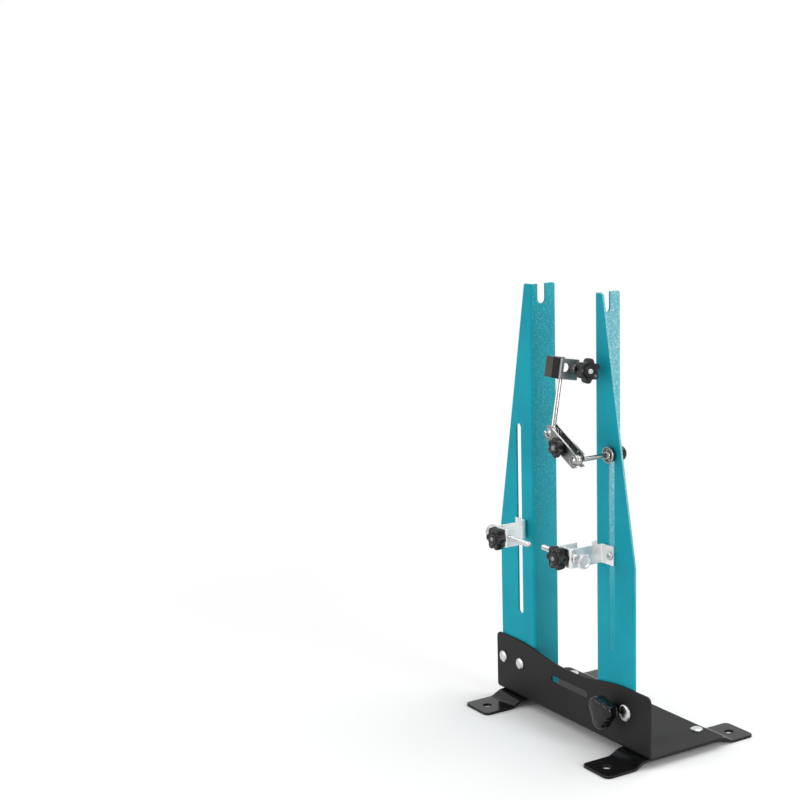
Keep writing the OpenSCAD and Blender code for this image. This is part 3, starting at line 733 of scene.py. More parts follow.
@dataclass(frozen=True)
class Paint(Finish):
    """Baked powder paint on sheet steel.

    Attributes:
        name: Name of the material.
        colour: Its main colour.
        shade: The colour that it drifts towards in slow patches.
        worn_and_sheen: The colour of its rubbed edges, and the pale colour of its painted glints
        and painted sheen.
        wear: How much of the edges is rubbed, from 0 to 1.
        grain: Width of the pebbled texture, in mm.
        relief: Height of that texture, in mm.
        low: Lowest roughness.
        high: Highest roughness.
        specular: Level of its gloss.
        painted_glints: How far the tops of the pebbles are painted pale, as painted glints, from 0
            to 1.
        painted_sheen: How far the whole paint is painted pale, as a painted sheen, from 0 to 1.
        painted_light_heights: Heights between which the painted glints and sheen come up, so that
            the paint is painted paler higher up, in mm.
    """

    name: str
    colour: Colour
    shade: Colour
    worn_and_sheen: Colour
    wear: float
    grain: float
    relief: float
    low: float
    high: float
    specular: float = 0.5
    # painted glints are faint on every paint by default; a painted sheen only where asked for
    painted_glints: float = 0.18
    painted_sheen: float = 0.0
    painted_light_heights: tuple[float, float] = (-2.0, -1.0)

    def make(self) -> bpy.types.Material:
        """Makes slow colour patches, pebbled bumps, painted glints, painted sheen and rubbed
        edges.

        Returns:
            The material.
        """
        g = Graph(self.name)
        slow = g.noise(0.016, 3.0, 0.55)
        cells = g.cells(1 / self.grain)
        fine = g.noise(2.2 / self.grain, 2.0, 0.6)
        glint_flecks = g.between(g.noise(1.1 / self.grain, 1.0), 0.50, 0.66)
        patchy = g.between(slow, 0.35, 0.65)
        colour = g.blend(patchy, self.colour, self.shade)
        # painted light: pale glints on the pebble tops and an even pale sheen, from the given
        # heights up
        height = g.add("ShaderNodeSeparateXYZ")
        g.join(g.mm, height.inputs[0])
        share = g.maths("ADD", g.maths("MULTIPLY", glint_flecks, self.painted_glints), self.painted_sheen)
        share = g.maths("MULTIPLY", share, g.between(height.outputs["Z"], *self.painted_light_heights))
        colour = g.blend(share, colour, self.worn_and_sheen)
        rubbed = g.between(g.noise(0.11, 4.0, 0.7), 0.72 - 0.5 * self.wear, 0.80 - 0.3 * self.wear)
        rubbed = g.maths("MULTIPLY", rubbed, g.between(g.rim, 0.3, 0.9), clamp=True)
        colour = g.blend(rubbed, colour, self.worn_and_sheen)
        g.give("Base Color", colour)
        matt = g.between(g.maths("ADD", slow, g.maths("MULTIPLY", fine, 0.5)), 0.45, 1.05,
                         self.low, self.high)
        g.give("Roughness", matt)
        g.give("Specular IOR Level", self.specular)
        pebbles = g.bump(cells, -self.relief)
        pebbles = g.bump(fine, self.relief * 0.4, pebbles)
        g.give("Normal", pebbles)
        return g.made


@dataclass(frozen=True)
class Metal(Finish):
    """Plated, ground or turned metal.

    Attributes:
        name: Name of the material.
        colour: Its main colour.
        shade: The colour of its duller patches.
        low: Lowest roughness.
        high: Highest roughness.
        brushing: Depth of the fine lines, in mm.
        rings: True where the lines run round a turned piece, from its own UV.
        stretch: How the lines of a flat piece are stretched along x, y and z.
        edge: Colour of its rubbed edges.
        speckle: Depth of tarnish spots, from 0 to 1.
    """

    name: str
    colour: Colour
    shade: Colour
    low: float
    high: float
    brushing: float
    rings: bool = True
    stretch: Triple = (1.0, 1.0, 12.0)
    edge: Colour = (0.86, 0.86, 0.87)
    speckle: float = 0.3

    def make(self) -> bpy.types.Material:
        """Makes patches of shine, fine lines, tarnish spots and bright edges.

        Returns:
            The material.
        """
        g = Graph(self.name)
        patches = g.noise(0.09, 4.0, 0.62)
        spots = g.between(g.noise(0.9, 3.0, 0.7), 0.56, 0.74)
        if self.rings:
            lines = g.turning_marks(9.0)
        else:
            lines = g.noise(1.6, 2.0, 0.6, g.vector("MULTIPLY", g.mm, self.stretch))
        dull = g.maths("MULTIPLY", spots, self.speckle)
        dull = g.maths("ADD", dull, g.maths("MULTIPLY", patches, 0.6), clamp=True)
        colour = g.blend(dull, self.colour, self.shade)
        colour = g.blend(g.maths("MULTIPLY", g.rim, 0.8, clamp=True), colour, self.edge)
        g.give("Base Color", colour)
        g.give("Metallic", 1.0)
        sum_ = g.maths("ADD", g.maths("MULTIPLY", patches, 0.7), g.maths("MULTIPLY", lines, 0.5))
        g.give("Roughness", g.between(sum_, 0.35, 0.85, self.low, self.high))
        g.give("Normal", g.bump(lines, self.brushing))
        return g.made


@dataclass(frozen=True)
class Moulded(Finish):
    """Moulded black plastic or rubber.

    Attributes:
        name: Name of the material.
        colour: Its main colour.
        shade: The colour of scuffed places.
        low: Lowest roughness.
        high: Highest roughness.
        relief: Height of its fine texture, in mm.
        specular: Level of its gloss.
    """

    name: str
    colour: Colour
    shade: Colour
    low: float
    high: float
    relief: float
    specular: float = 0.5

    def make(self) -> bpy.types.Material:
        """Makes a mottled gloss, fine scuffs and paler edges.

        Returns:
            The material.
        """
        g = Graph(self.name)
        mottle = g.noise(0.22, 3.0, 0.6)
        scuffs = g.between(g.noise(0.7, 5.0, 0.75, g.vector("MULTIPLY", g.mm, (1.0, 5.0, 1.0))),
                           0.58, 0.72)
        edge = g.maths("MULTIPLY", g.rim, 0.5)
        share = g.maths("ADD", g.maths("MULTIPLY", scuffs, 0.45), edge, clamp=True)
        g.give("Base Color", g.blend(share, self.colour, self.shade))
        rough = g.maths("ADD", g.maths("MULTIPLY", scuffs, 0.5), mottle)
        g.give("Roughness", g.between(rough, 0.35, 1.0, self.low, self.high))
        g.give("Specular IOR Level", self.specular)
        g.give("Normal", g.bump(g.noise(2.5, 3.0, 0.6), self.relief))
        return g.made


# the two blacks take the default faint painted glints on their pebble tops
BASE_BLACK = Paint("base_black", (0.009, 0.009, 0.0095), (0.015, 0.015, 0.0155),
                   (0.07, 0.07, 0.07), wear=0.35, grain=0.55, relief=0.014, low=0.44, high=0.60,
                   specular=0.16)
FOOT_BLACK = Paint("foot_black", (0.002, 0.002, 0.0022), (0.004, 0.004, 0.0044),
                   (0.08, 0.08, 0.08), wear=0.55, grain=0.8, relief=0.005, low=0.12, high=0.22,
                   specular=0.22)
# The teal's pale flecks are painted glints. The webs take paler copies of the teal than the
# flanges: painted glints up the inner web, and painted glints with a painted sheen up the right
# upright's outer web, both stronger higher up.
TEAL = Paint("teal", (0.002, 0.280, 0.360), (0.004, 0.330, 0.415), (0.10, 0.50, 0.56),
             wear=0.45, grain=2.2, relief=0.10, low=0.34, high=0.50, specular=0.08, painted_glints=0.06)
TEAL_INNER_LIT = Paint("teal_inner_web_lit", (0.006, 0.270, 0.340), (0.010, 0.310, 0.385),
                   (0.16, 0.52, 0.56), wear=0.45, grain=1.9, relief=0.22, low=0.30, high=0.46,
                   specular=0.20, painted_glints=0.34, painted_light_heights=(170.0, 270.0))
TEAL_OUTER_LIT = Paint("teal_outer_web_lit", (0.010, 0.300, 0.375), (0.016, 0.340, 0.420),
                   (0.50, 0.72, 0.74), wear=0.20, grain=1.9, relief=0.22, low=0.30, high=0.46,
                   specular=0.20, painted_glints=0.40, painted_sheen=0.26, painted_light_heights=(150.0, 290.0))
RIVET = Metal("rivet_metal", (0.72, 0.72, 0.73), (0.36, 0.36, 0.37), low=0.20, high=0.38,
              brushing=0.006)
STRIP = Metal("strip_metal", (0.90, 0.90, 0.90), (0.70, 0.70, 0.70), low=0.26, high=0.46,
              brushing=0.005, rings=False, edge=(0.93, 0.93, 0.93))
FASTENER = Metal("fastener_metal", (0.60, 0.60, 0.61), (0.30, 0.30, 0.31), low=0.20, high=0.40,
                 brushing=0.006)
STUD = Metal("stud_metal", (0.30, 0.30, 0.30), (0.14, 0.14, 0.14), low=0.22, high=0.40,
             brushing=0.006, edge=(0.42, 0.42, 0.42))
CUP = Metal("cup_metal", (0.34, 0.33, 0.31), (0.15, 0.145, 0.135), low=0.10, high=0.24,
            brushing=0.012, edge=(0.62, 0.61, 0.59))
SCREW = Metal("screw_metal", (0.66, 0.66, 0.67), (0.38, 0.38, 0.39), low=0.20, high=0.38,
              brushing=0.005)
CHROME = Metal("chrome", (0.46, 0.435, 0.415), (0.30, 0.28, 0.265), low=0.06, high=0.16,
               brushing=0.0012, speckle=0.1)
CLAMP_FACE = Metal("clamp_face", (0.20, 0.20, 0.202), (0.11, 0.11, 0.112), low=0.32, high=0.50,
                   brushing=0.006, rings=False, stretch=(6.0, 1.0, 6.0), edge=(0.6, 0.6, 0.6))
CLAMP_EDGE = Metal("clamp_edge", (0.48, 0.47, 0.46), (0.26, 0.26, 0.255), low=0.18, high=0.32,
                   brushing=0.003, rings=False)
HEAD_WALL = Metal("head_wall", (0.32, 0.32, 0.32), (0.22, 0.22, 0.22), low=0.38, high=0.54,
                  brushing=0.004, rings=False, edge=(0.50, 0.50, 0.50))
# the head's front faces take a far darker copy of the side walls' steel: painted shade
HEAD_FRONT_SHADED = Metal("head_front", (0.070, 0.067, 0.058), (0.030, 0.029, 0.025), low=0.36,
                   high=0.52, brushing=0.006, rings=False, stretch=(1.0, 0.4, 0.25),
                   edge=(0.16, 0.16, 0.15))
# a near-black band painted over the head's front faces past the band line; the solid has no part
# there
HEAD_BAND = Moulded("head_band", (0.002, 0.002, 0.002), (0.006, 0.006, 0.006), low=0.40,
                    high=0.60, relief=0.006, specular=0.15)
KNOB = Moulded("knob_plastic", (0.004, 0.004, 0.0045), (0.018, 0.018, 0.019), low=0.16,
               high=0.34, relief=0.004, specular=0.34)
CLAMP_KNOB = Moulded("clamp_knob_plastic", (0.004, 0.004, 0.0045), (0.012, 0.012, 0.013),
                     low=0.10, high=0.24, relief=0.003, specular=0.30)
RUBBER = Moulded("washer_rubber", (0.010, 0.010, 0.010), (0.030, 0.030, 0.030), low=0.55,
                 high=0.75, relief=0.010, specular=0.3)


# ---------------------------------------------------------------- turned pieces


@dataclass(frozen=True)
class Turner:
    """The turned and moulded pieces that several sub-assemblies share."""

    star_hub: float = 13.0
    stud_d: float = 5.0
    lobe_share: float = 0.27
    body_share: float = 0.75
    ring_share: float = 0.23
    rivet_d: float = 6.0
    rivet_head: tuple[float, float] = (13.0, 2.6)
    rivet_foot: tuple[float, float] = (9.0, 1.5)
    cross_bar: tuple[float, float] = (0.35, 0.75)
    cross_reach: tuple[float, float] = (0.42, 0.58)
    cross_depth: float = 1.3
    pan_rim: float = 0.35

    def star(self, diameter: float, thick: float = 10.0, hub_h: float = 2.0) -> Shell:
        """Makes a star knob with its hub on z = 0.

        Six lobes stand on a hub, and the face has a shallow ring-shaped dish round a hub ring
        with a bore in its middle.

        Args:
            diameter: Diameter over the lobes, in mm.
            thick: Thickness of the lobes, in mm.
            hub_h: Height of the hub below them, in mm.

        Returns:
            The closed shell.
        """
        outline = lobed(6, diameter, diameter * self.lobe_share, diameter * self.body_share)
        top = hub_h + thick
        bore, ring = self.stud_d / 2 + 0.1, diameter * self.ring_share
        rows = profile([
            at(bore, 0.0, 0.2), at(self.star_hub / 2, 0.0, 0.3),
            at(self.star_hub / 2 - 0.3, hub_h, 0.3),
            Corner(1.0, -0.5, hub_h, 0.9), Corner(1.0, 0.0, hub_h + thick * 0.3, 1.5),
            Corner(1.0, 0.0, top - thick * 0.26, 1.5), Corner(1.0, -0.4, top - 0.6, 1.3),
            Corner(0.55, ring * 0.55, top - 0.7, 0.8), at(ring + 0.9, top - 2.0, 0.5),
            at(ring, top - 0.3, 0.5), at(bore + 0.7, top - 0.05, 0.3), at(bore, top - 0.9, 0.3),
            at(bore, 0.0, 0.2)], diameter / 2)
        return turned(rows, outline)

    def stud_end(self, diameter: float, z0: float, z1: float) -> Shell:
        """Makes a plain stud with chamfered ends.

        Args:
            diameter: Diameter of the stud, in mm.
            z0: Lower end, in mm.
            z1: Upper end, in mm.

        Returns:
            The closed shell.
        """
        r = diameter / 2
        return turned(profile([at(0, z0), at(r - 0.5, z0, 0.2), at(r, z0 + 0.5, 0.2),
                               at(r, z1 - 0.5, 0.2), at(r - 0.5, z1, 0.2),
                               at(r * 0.35, z1 - 0.1, 0.2), at(0, z1 - 0.25)]), columns=32)

    def nut(self, across: float, height: float, bore: float, flange: float = 0.0,
            flange_t: float = 0.0) -> Shell:
        """Makes a hexagon nut on z = 0.

        The corners are cut by a cone: near the top the radius is capped, and the cap falls to
        the half width at the face.

        Args:
            across: Width across flats, in mm.
            height: Height of the hexagon above its flange, in mm.
            bore: Diameter of the thread, in mm.
            flange: Diameter of the flange, or 0 for none.
            flange_t: Thickness of the flange, in mm.

        Returns:
            The closed shell.
        """
        outline = hexagon(across)
        corner, inner, top = across / 2 / math.cos(math.pi / 6), bore / 2, flange_t + height
        foot = [at(flange / 2, 0.0, 0.3), at(flange / 2 - 0.2, flange_t * 0.75, 0.4),
                Corner(1.0, 0.25, flange_t, 0.3)] if flange else [
            Corner(1.0, 0.0, 0.0, 0.0, across / 2), Corner(1.0, 0.0, 0.55, 0.0, corner)]
        rows = profile([
            at(inner + 0.4, 0.0, 0.1), *foot,
            Corner(1.0, 0.0, top - 0.55, 0.0, corner), Corner(1.0, 0.0, top, 0.0, across / 2),
            at(inner + 0.5, top, 0.1), at(inner, top - 0.5, 0.1), at(inner, 0.4, 0.1),
            at(inner + 0.4, 0.0, 0.1)], across / 2)
        return turned(rows, outline)

    def dome_head(self, diameter: float, height: float) -> Shell:
        """Makes a domed head on z = 0: half an ellipse in section over a short rim.

        Args:
            diameter: Diameter of the head, in mm.
            height: Height of the head, in mm.

        Returns:
            The closed shell.
        """
        r, rim = diameter / 2, height / 4
        s = np.linspace(0, 1, 12)
        cap = [at(float(r * math.cos(a)), float(rim + (height - rim) * math.sin(a)))
               for a in s * math.pi / 2]
        return turned(profile([at(0, -0.2), at(r - 0.4, -0.2, 0.1), at(r, 0.15, 0.2), *cap[1:]],
                              steps=3), columns=48)

    def rivet_tail(self, shank: float, tail: float, height: float, grip: float) -> Shell:
        """Makes the shank and upset end of a rivet, from z = 0 down through its grip.

        Args:
            shank: Diameter of the shank, in mm.
            tail: Diameter of the upset end, in mm.
            height: Height of the upset end, in mm.
            grip: Thickness of what the rivet holds, in mm.

        Returns:
            The closed shell.
        """
        r, q = shank / 2, tail / 2
        low = -grip - height
        return turned(profile([at(0, 0.4), at(r, 0.4), at(r, -grip, 0.1), at(q - 0.2, -grip, 0.3),
                               at(q, -grip - height * 0.5, 0.4), at(q * 0.72, low, 0.5),
                               at(q * 0.45, low + 0.25, 0.3), at(0, low + 0.45)]), columns=40)

    def rivets(self, places: Sequence[Place], grip: float) -> Parts:
        """Makes the head and the tail of a rivet at each place.

        Args:
            places: Where the heads stand.
            grip: Thickness of what the rivets hold, in mm.

        Returns:
            The shells and their places.
        """
        head = self.dome_head(*self.rivet_head)
        tail = self.rivet_tail(self.rivet_d, *self.rivet_foot, grip)
        return [(shell, place) for place in places for shell in (head, tail)]

    def cross_head(self, diameter: float, height: float) -> Shell:
        """Makes a round screw head with a cross recess.

        The face is half an ellipse in section. The recess takes away a depth that falls to
        nothing outside two crossed bars, by smooth steps of the distance across and along them.

        Args:
            diameter: Diameter of the head, in mm.
            height: Height of the head, in mm.

        Returns:
            The closed shell.
        """
        r = diameter / 2
        s = np.concatenate([np.linspace(0, 0.75, 26), np.linspace(0.8, 1.0, 8)])[:, None]
        angle = np.linspace(0, TURN, 97)[None, :]
        radius = r * s + 0 * angle
        x, y = np.abs(radius * np.cos(angle)), np.abs(radius * np.sin(angle))
        across, along = np.minimum(x, y), np.maximum(x, y)

        def step(value: np.ndarray, low: float, high: float) -> np.ndarray:
            """Returns 0 below low, 1 above high and a smooth rise between."""
            t = np.clip((value - low) / (high - low), 0, 1)
            return t * t * (3 - 2 * t)

        near, far = self.cross_reach
        recess = (1 - step(across, *self.cross_bar)) * (1 - step(along, r * near, r * far))
        dome = self.pan_rim + (1 - self.pan_rim) * np.sqrt(np.maximum(1 - s**2, 0))
        top = height * dome - self.cross_depth * recess
        face = np.stack([radius * np.cos(angle), radius * np.sin(angle), top], axis=-1)
        foot = face[-1:].copy()
        foot[..., 2] = 0.0
        middle = foot * np.array([0.0, 0.0, 1.0])
        points = np.concatenate([face, foot, middle])
        along_face = np.concatenate([s[:, 0] * r, [r + height], [2 * r + height]])
        return Shell(points, along_face, np.zeros(points.shape[:2]))


TURNER = Turner()


# ---------------------------------------------------------------- base


@dataclass
class Base:
    """The bent base plate, its two foot strips and the rivets that hold them."""

    pieces: Pieces
    front_y: float = -47.0
    back_y: float = 53.5
    lift: float = 9.0
    sheet: float = 2.5
    foot_t: float = 3.0
    ramp: float = 12.0
    ease: float = 5.0
    feet: tuple[float, float] = (-105.0, 105.0)
    rivet_x: float = -7.0
    rivet_ys: tuple[float, float] = (-34.5, 43.0)
    plate_edge: float = 0.45
    foot_edge: float = 0.6
    ramp_rows: int = 14

    def shaped_foot(self, points: np.ndarray) -> np.ndarray:
        """Eases the ramps of a foot strip.

        The height of the strip's underside is its rise times a smooth step of the distance
        along the ramp, which starts and ends level, and its top lies one thickness above.

        Args:
            points: The strip's points, in mm.

        Returns:
            The points with their new heights.
        """
        rise = self.lift - self.foot_t
        before = self.front_y - self.ramp
        after = self.back_y + self.ramp
        y, z = points[:, 1], points[:, 2]
        straight = rise * np.clip(np.minimum((y - before), (after - y)) / self.ramp, 0, 1)
        upper = z > straight + self.foot_t * 0.5
        way = np.clip(np.minimum(y - before, after - y) + self.ease, 0, self.ramp + self.ease)
        t = way / (self.ramp + self.ease)
        made = points.copy()
        made[:, 2] = rise * t * t * (3 - 2 * t) + np.where(upper, self.foot_t, 0.0)
        return made

    def build(self) -> None:
        """Builds the plate, the feet and the foot rivets."""
        p = self.pieces
        p.bend("base_plate", SheetCut(self.plate_edge), [BASE_BLACK], "base", Slot.BASE)
        steps = np.linspace(-self.ease, self.ramp, self.ramp_rows)
        planes = tuple(self.front_y - self.ramp + steps) + tuple(self.back_y + self.ramp - steps)
        for node in ("left_foot", "right_foot"):
            p.bend(node, SheetCut(self.foot_edge, planes, self.shaped_foot), [FOOT_BLACK],
                   "base", Slot.BASE)
        places = [Place.at(x + self.rivet_x, y, self.lift + self.sheet)
                  for x in self.feet for y in self.rivet_ys]
        p.turn("foot_rivets_set", TURNER.rivets(places, self.sheet + self.foot_t), RIVET,
               "base", Slot.RIVET, "foot_rivets")


@dataclass
class Uprights:
    """The two bent uprights, with the rivets and bolts that hold them to the front plate."""

    pieces: Pieces
    front_y: float = -47.0
    flange_back: float = -42.0
    fixing_z: float = 48.0
    rivet_xs: tuple[float, float] = (-121.5, -90.0)
    grip: float = 5.0
    clamp_x: float = 76.5
    guide_x: float = 92.0
    bolt_d: float = 6.0
    guide_head: tuple[float, float] = (17.5, 3.6)
    nut: tuple[float, float, float, float, float] = (9.0, 4.0, 6.0, 13.0, 1.4)
    bolt_end: float = 12.4
    hub: tuple[float, float] = (12.0, 14.0)
    knob: tuple[float, float, float] = (36.0, 11.0, 22.0)
    lobe_share: float = 0.52
    body_share: float = 0.74
    edge: float = 0.5

    def knob_shell(self) -> Shell:
        """Makes the clamp knob with its hub on z = 0 and a crowned three-lobed face.

        Returns:
            The closed shell.
        """
        over, thick, turn = self.knob
        outline = lobed(3, over, over * self.lobe_share, over * self.body_share, turn)
        r, h = self.hub[0] / 2, self.hub[1]
        top = h + thick
        rows = profile([
            at(self.bolt_d / 2 + 0.1, 0.3), at(r - 0.3, 0.0, 0.3), at(r, 0.8, 0.4),
            at(r - 0.4, h * 0.42, 0.8), Corner(0.55, 1.2, h * 0.54, 1.5),
            Corner(0.90, 0.0, h * 0.68, 1.5), Corner(1.0, 0.0, h * 0.92, 1.5),
            Corner(1.0, 0.2, top - 4.0, 1.5), Corner(0.93, 0.0, top - 1.6, 1.6),
            Corner(0.5, 0.0, top - 0.3, 2.0), Corner(0.0, 0.0, top)], over / 2, 6)
        return turned(rows, outline)

    def build(self) -> None:
        """Builds the uprights and what fixes them."""
        p = self.pieces
        across = np.array([0.0, 1.0, 0.0])
        # the faces that look across y, the webs, take the paler copies of the teal: painted glints
        # and sheen
        for node, body, lit_web in (("left_upright", "base", TEAL_INNER_LIT),
                                ("right_upright", "sliding_upright", TEAL_OUTER_LIT)):
            p.bend(node, SheetCut(self.edge, edge_axis=across), [TEAL, lit_web], body,
                   Slot.UPRIGHT)
        guide, clamp, *riveted = (Place.at(x, self.front_y, self.fixing_z, Toward.FRONT)
                                  for x in (self.guide_x, self.clamp_x, *self.rivet_xs))
        p.turn("upright_rivets_set", TURNER.rivets(riveted, self.grip), RIVET, "base",
               Slot.RIVET, "upright_rivets")
        p.turn("guide_bolt_domed", [
            (TURNER.dome_head(*self.guide_head), guide),
            (thread(self.bolt_d, -self.bolt_end, 0.5), guide)],
            RIVET, "base", Slot.RIVET, "guide_bolt")
        p.turn("clamp_knob_moulded", [(self.knob_shell(), clamp)], CLAMP_KNOB,
               "upright_clamp", Slot.KNOB, "clamp_knob")
        p.turn("clamp_stud_threaded", [
            (thread(self.bolt_d, -self.bolt_end, self.hub[1]), clamp)],
            FASTENER, "upright_clamp", Slot.FASTENER, "clamp_stud")
        for node, x in (("guide_nut", self.guide_x), ("clamp_nut", self.clamp_x)):
            behind = Place.at(x, self.flange_back + HAIR, self.fixing_z, Toward.BACK)
            p.turn(node + "_flanged", [(TURNER.nut(*self.nut), behind)], FASTENER, "base",
                   Slot.FASTENER, node)


@dataclass
class SideGauge:
    """One side gauge: its bent strip, slot screw, threaded block, gauge screw and lock knob."""

    pieces: Pieces
    side: str
    out: float
    slot_x: float
    height: float
    flange_y: float = -44.5
    flange_back: float = -42.0
    strip_y: float = -87.0
    screw_y: float = -80.5
    strip_t: float = 2.0
    wall_in: float = 13.0
    lock_in: float = 26.0
    screw_d: float = 6.0
    tip: float = 56.0
    stem: float = 10.0
    knurl: tuple[float, float] = (15.5, 6.0)
    bush: tuple[float, float] = (9.0, 5.0)
    slot_screw: tuple[float, float, float] = (9.0, 3.0, 5.0)
    slot_screw_end: float = 11.9
    nut: tuple[float, float, float, float, float] = (9.0, 4.0, 5.0, 13.0, 1.4)
    star_d: float = 25.5
    stud_back: float = 3.2
    stud_out: float = 12.8
    strip_edge: float = 0.35
    block_edge: float = 0.6

    def across(self, inwards: float, y: float) -> Place:
        """Returns a place on the gauge screw's axis that points away from the wheel."""
        way = Toward.RIGHT if self.out > 0 else Toward.LEFT
        return Place.at(self.slot_x - self.out * inwards, y, self.height, way)

    def screw_shells(self) -> list[Shell]:
        """Makes the gauge screw's thread, point, knurled head and neck, from the wall out.

        Returns:
            The four shells.
        """
        r, (d, t) = self.screw_d / 2, self.knurl
        point = turned(profile([at(0, -self.tip), at(r * 0.45, -self.tip, 0.3),
                                at(r - 0.5, -self.tip + 2.2, 0.2), at(0, -self.tip + 2.4)]),
                       columns=28)
        head = turned(profile([
            at(r - 0.4, self.stem - 1.0), at(d * 0.36, self.stem - 0.9, 0.3),
            at(d * 0.36, self.stem, 0.2), Corner(1.0, -0.7, self.stem, 0.3),
            Corner(1.0, 0.0, self.stem + 0.8, 0.3), Corner(1.0, 0.0, self.stem + t - 0.8, 0.3),
            Corner(1.0, -0.7, self.stem + t, 0.3), at(d * 0.36, self.stem + t - 0.05, 0.3),
            at(d * 0.33, self.stem + t - 0.7, 0.3), at(0, self.stem + t - 0.7)], d / 2),
            knurled(d, 44, 0.45))
        neck = turned(profile([at(0, self.stem - 2.5), at(r - 0.3, self.stem - 2.5, 0.2),
                               at(r - 0.3, self.stem)]), columns=28)
        return [thread(self.screw_d, -self.tip + 1.8, self.stem - 2.0), point, head, neck]

    def build(self) -> None:
        """Builds the gauge's pieces on their bodies."""
        side, p, body = self.side, self.pieces, self.side + "_gauge"
        for name, edge in (("_gauge_bracket", self.strip_edge),
                           ("_thread_block", self.block_edge)):
            p.bend(side + name, SheetCut(edge), [STRIP], body, Slot.STRIP)
        d, h, shank = self.slot_screw
        front = Place.at(self.slot_x, self.flange_y - self.strip_t, self.height, Toward.FRONT)
        p.turn(side + "_slot_screw_head", [
            (TURNER.cross_head(d, h), front),
            (fine_thread(shank, -self.slot_screw_end, 0.4), front)],
            FASTENER, body, Slot.FASTENER, side + "_slot_screw")
        back = Place.at(self.slot_x, self.flange_back, self.height, Toward.BACK)
        p.turn(side + "_slot_nut_flanged", [(TURNER.nut(*self.nut), back)], FASTENER, body,
               Slot.FASTENER, side + "_slot_nut")
        r, long = self.bush[0] / 2, self.bush[1]
        bore = self.screw_d / 2 + 0.1
        bush = turned(profile([
            at(bore, 0), at(r, 0, 0.1), at(r, long - 0.8, 0.3), at(r - 0.8, long, 0.3),
            at(self.screw_d / 2 + 0.5, long, 0.2), at(bore, long - 0.5, 0.1), at(bore, 0)]),
            columns=48)
        outside = self.across(self.wall_in + self.strip_t, self.screw_y)
        p.turn(side + "_screw_bush_turned", [(bush, outside)], STRIP, body, Slot.STRIP,
               side + "_screw_bush")
        wall = self.across(self.wall_in, self.screw_y)
        p.turn(side + "_gauge_screw_knurled", [(s, wall) for s in self.screw_shells()], SCREW,
               side + "_screw", Slot.SCREW, side + "_gauge_screw")
        lock = Place.at(self.slot_x - self.out * self.lock_in, self.strip_y, self.height,
                        Toward.FRONT)
        p.turn(side + "_lock_knob_moulded", [(TURNER.star(self.star_d), lock)], KNOB,
               side + "_lock", Slot.KNOB, side + "_lock_knob")
        p.turn(side + "_lock_stud_turned", [
            (TURNER.stud_end(TURNER.stud_d, -self.stud_back, self.stud_out), lock)],
            STUD, side + "_lock", Slot.FASTENER, side + "_lock_stud")


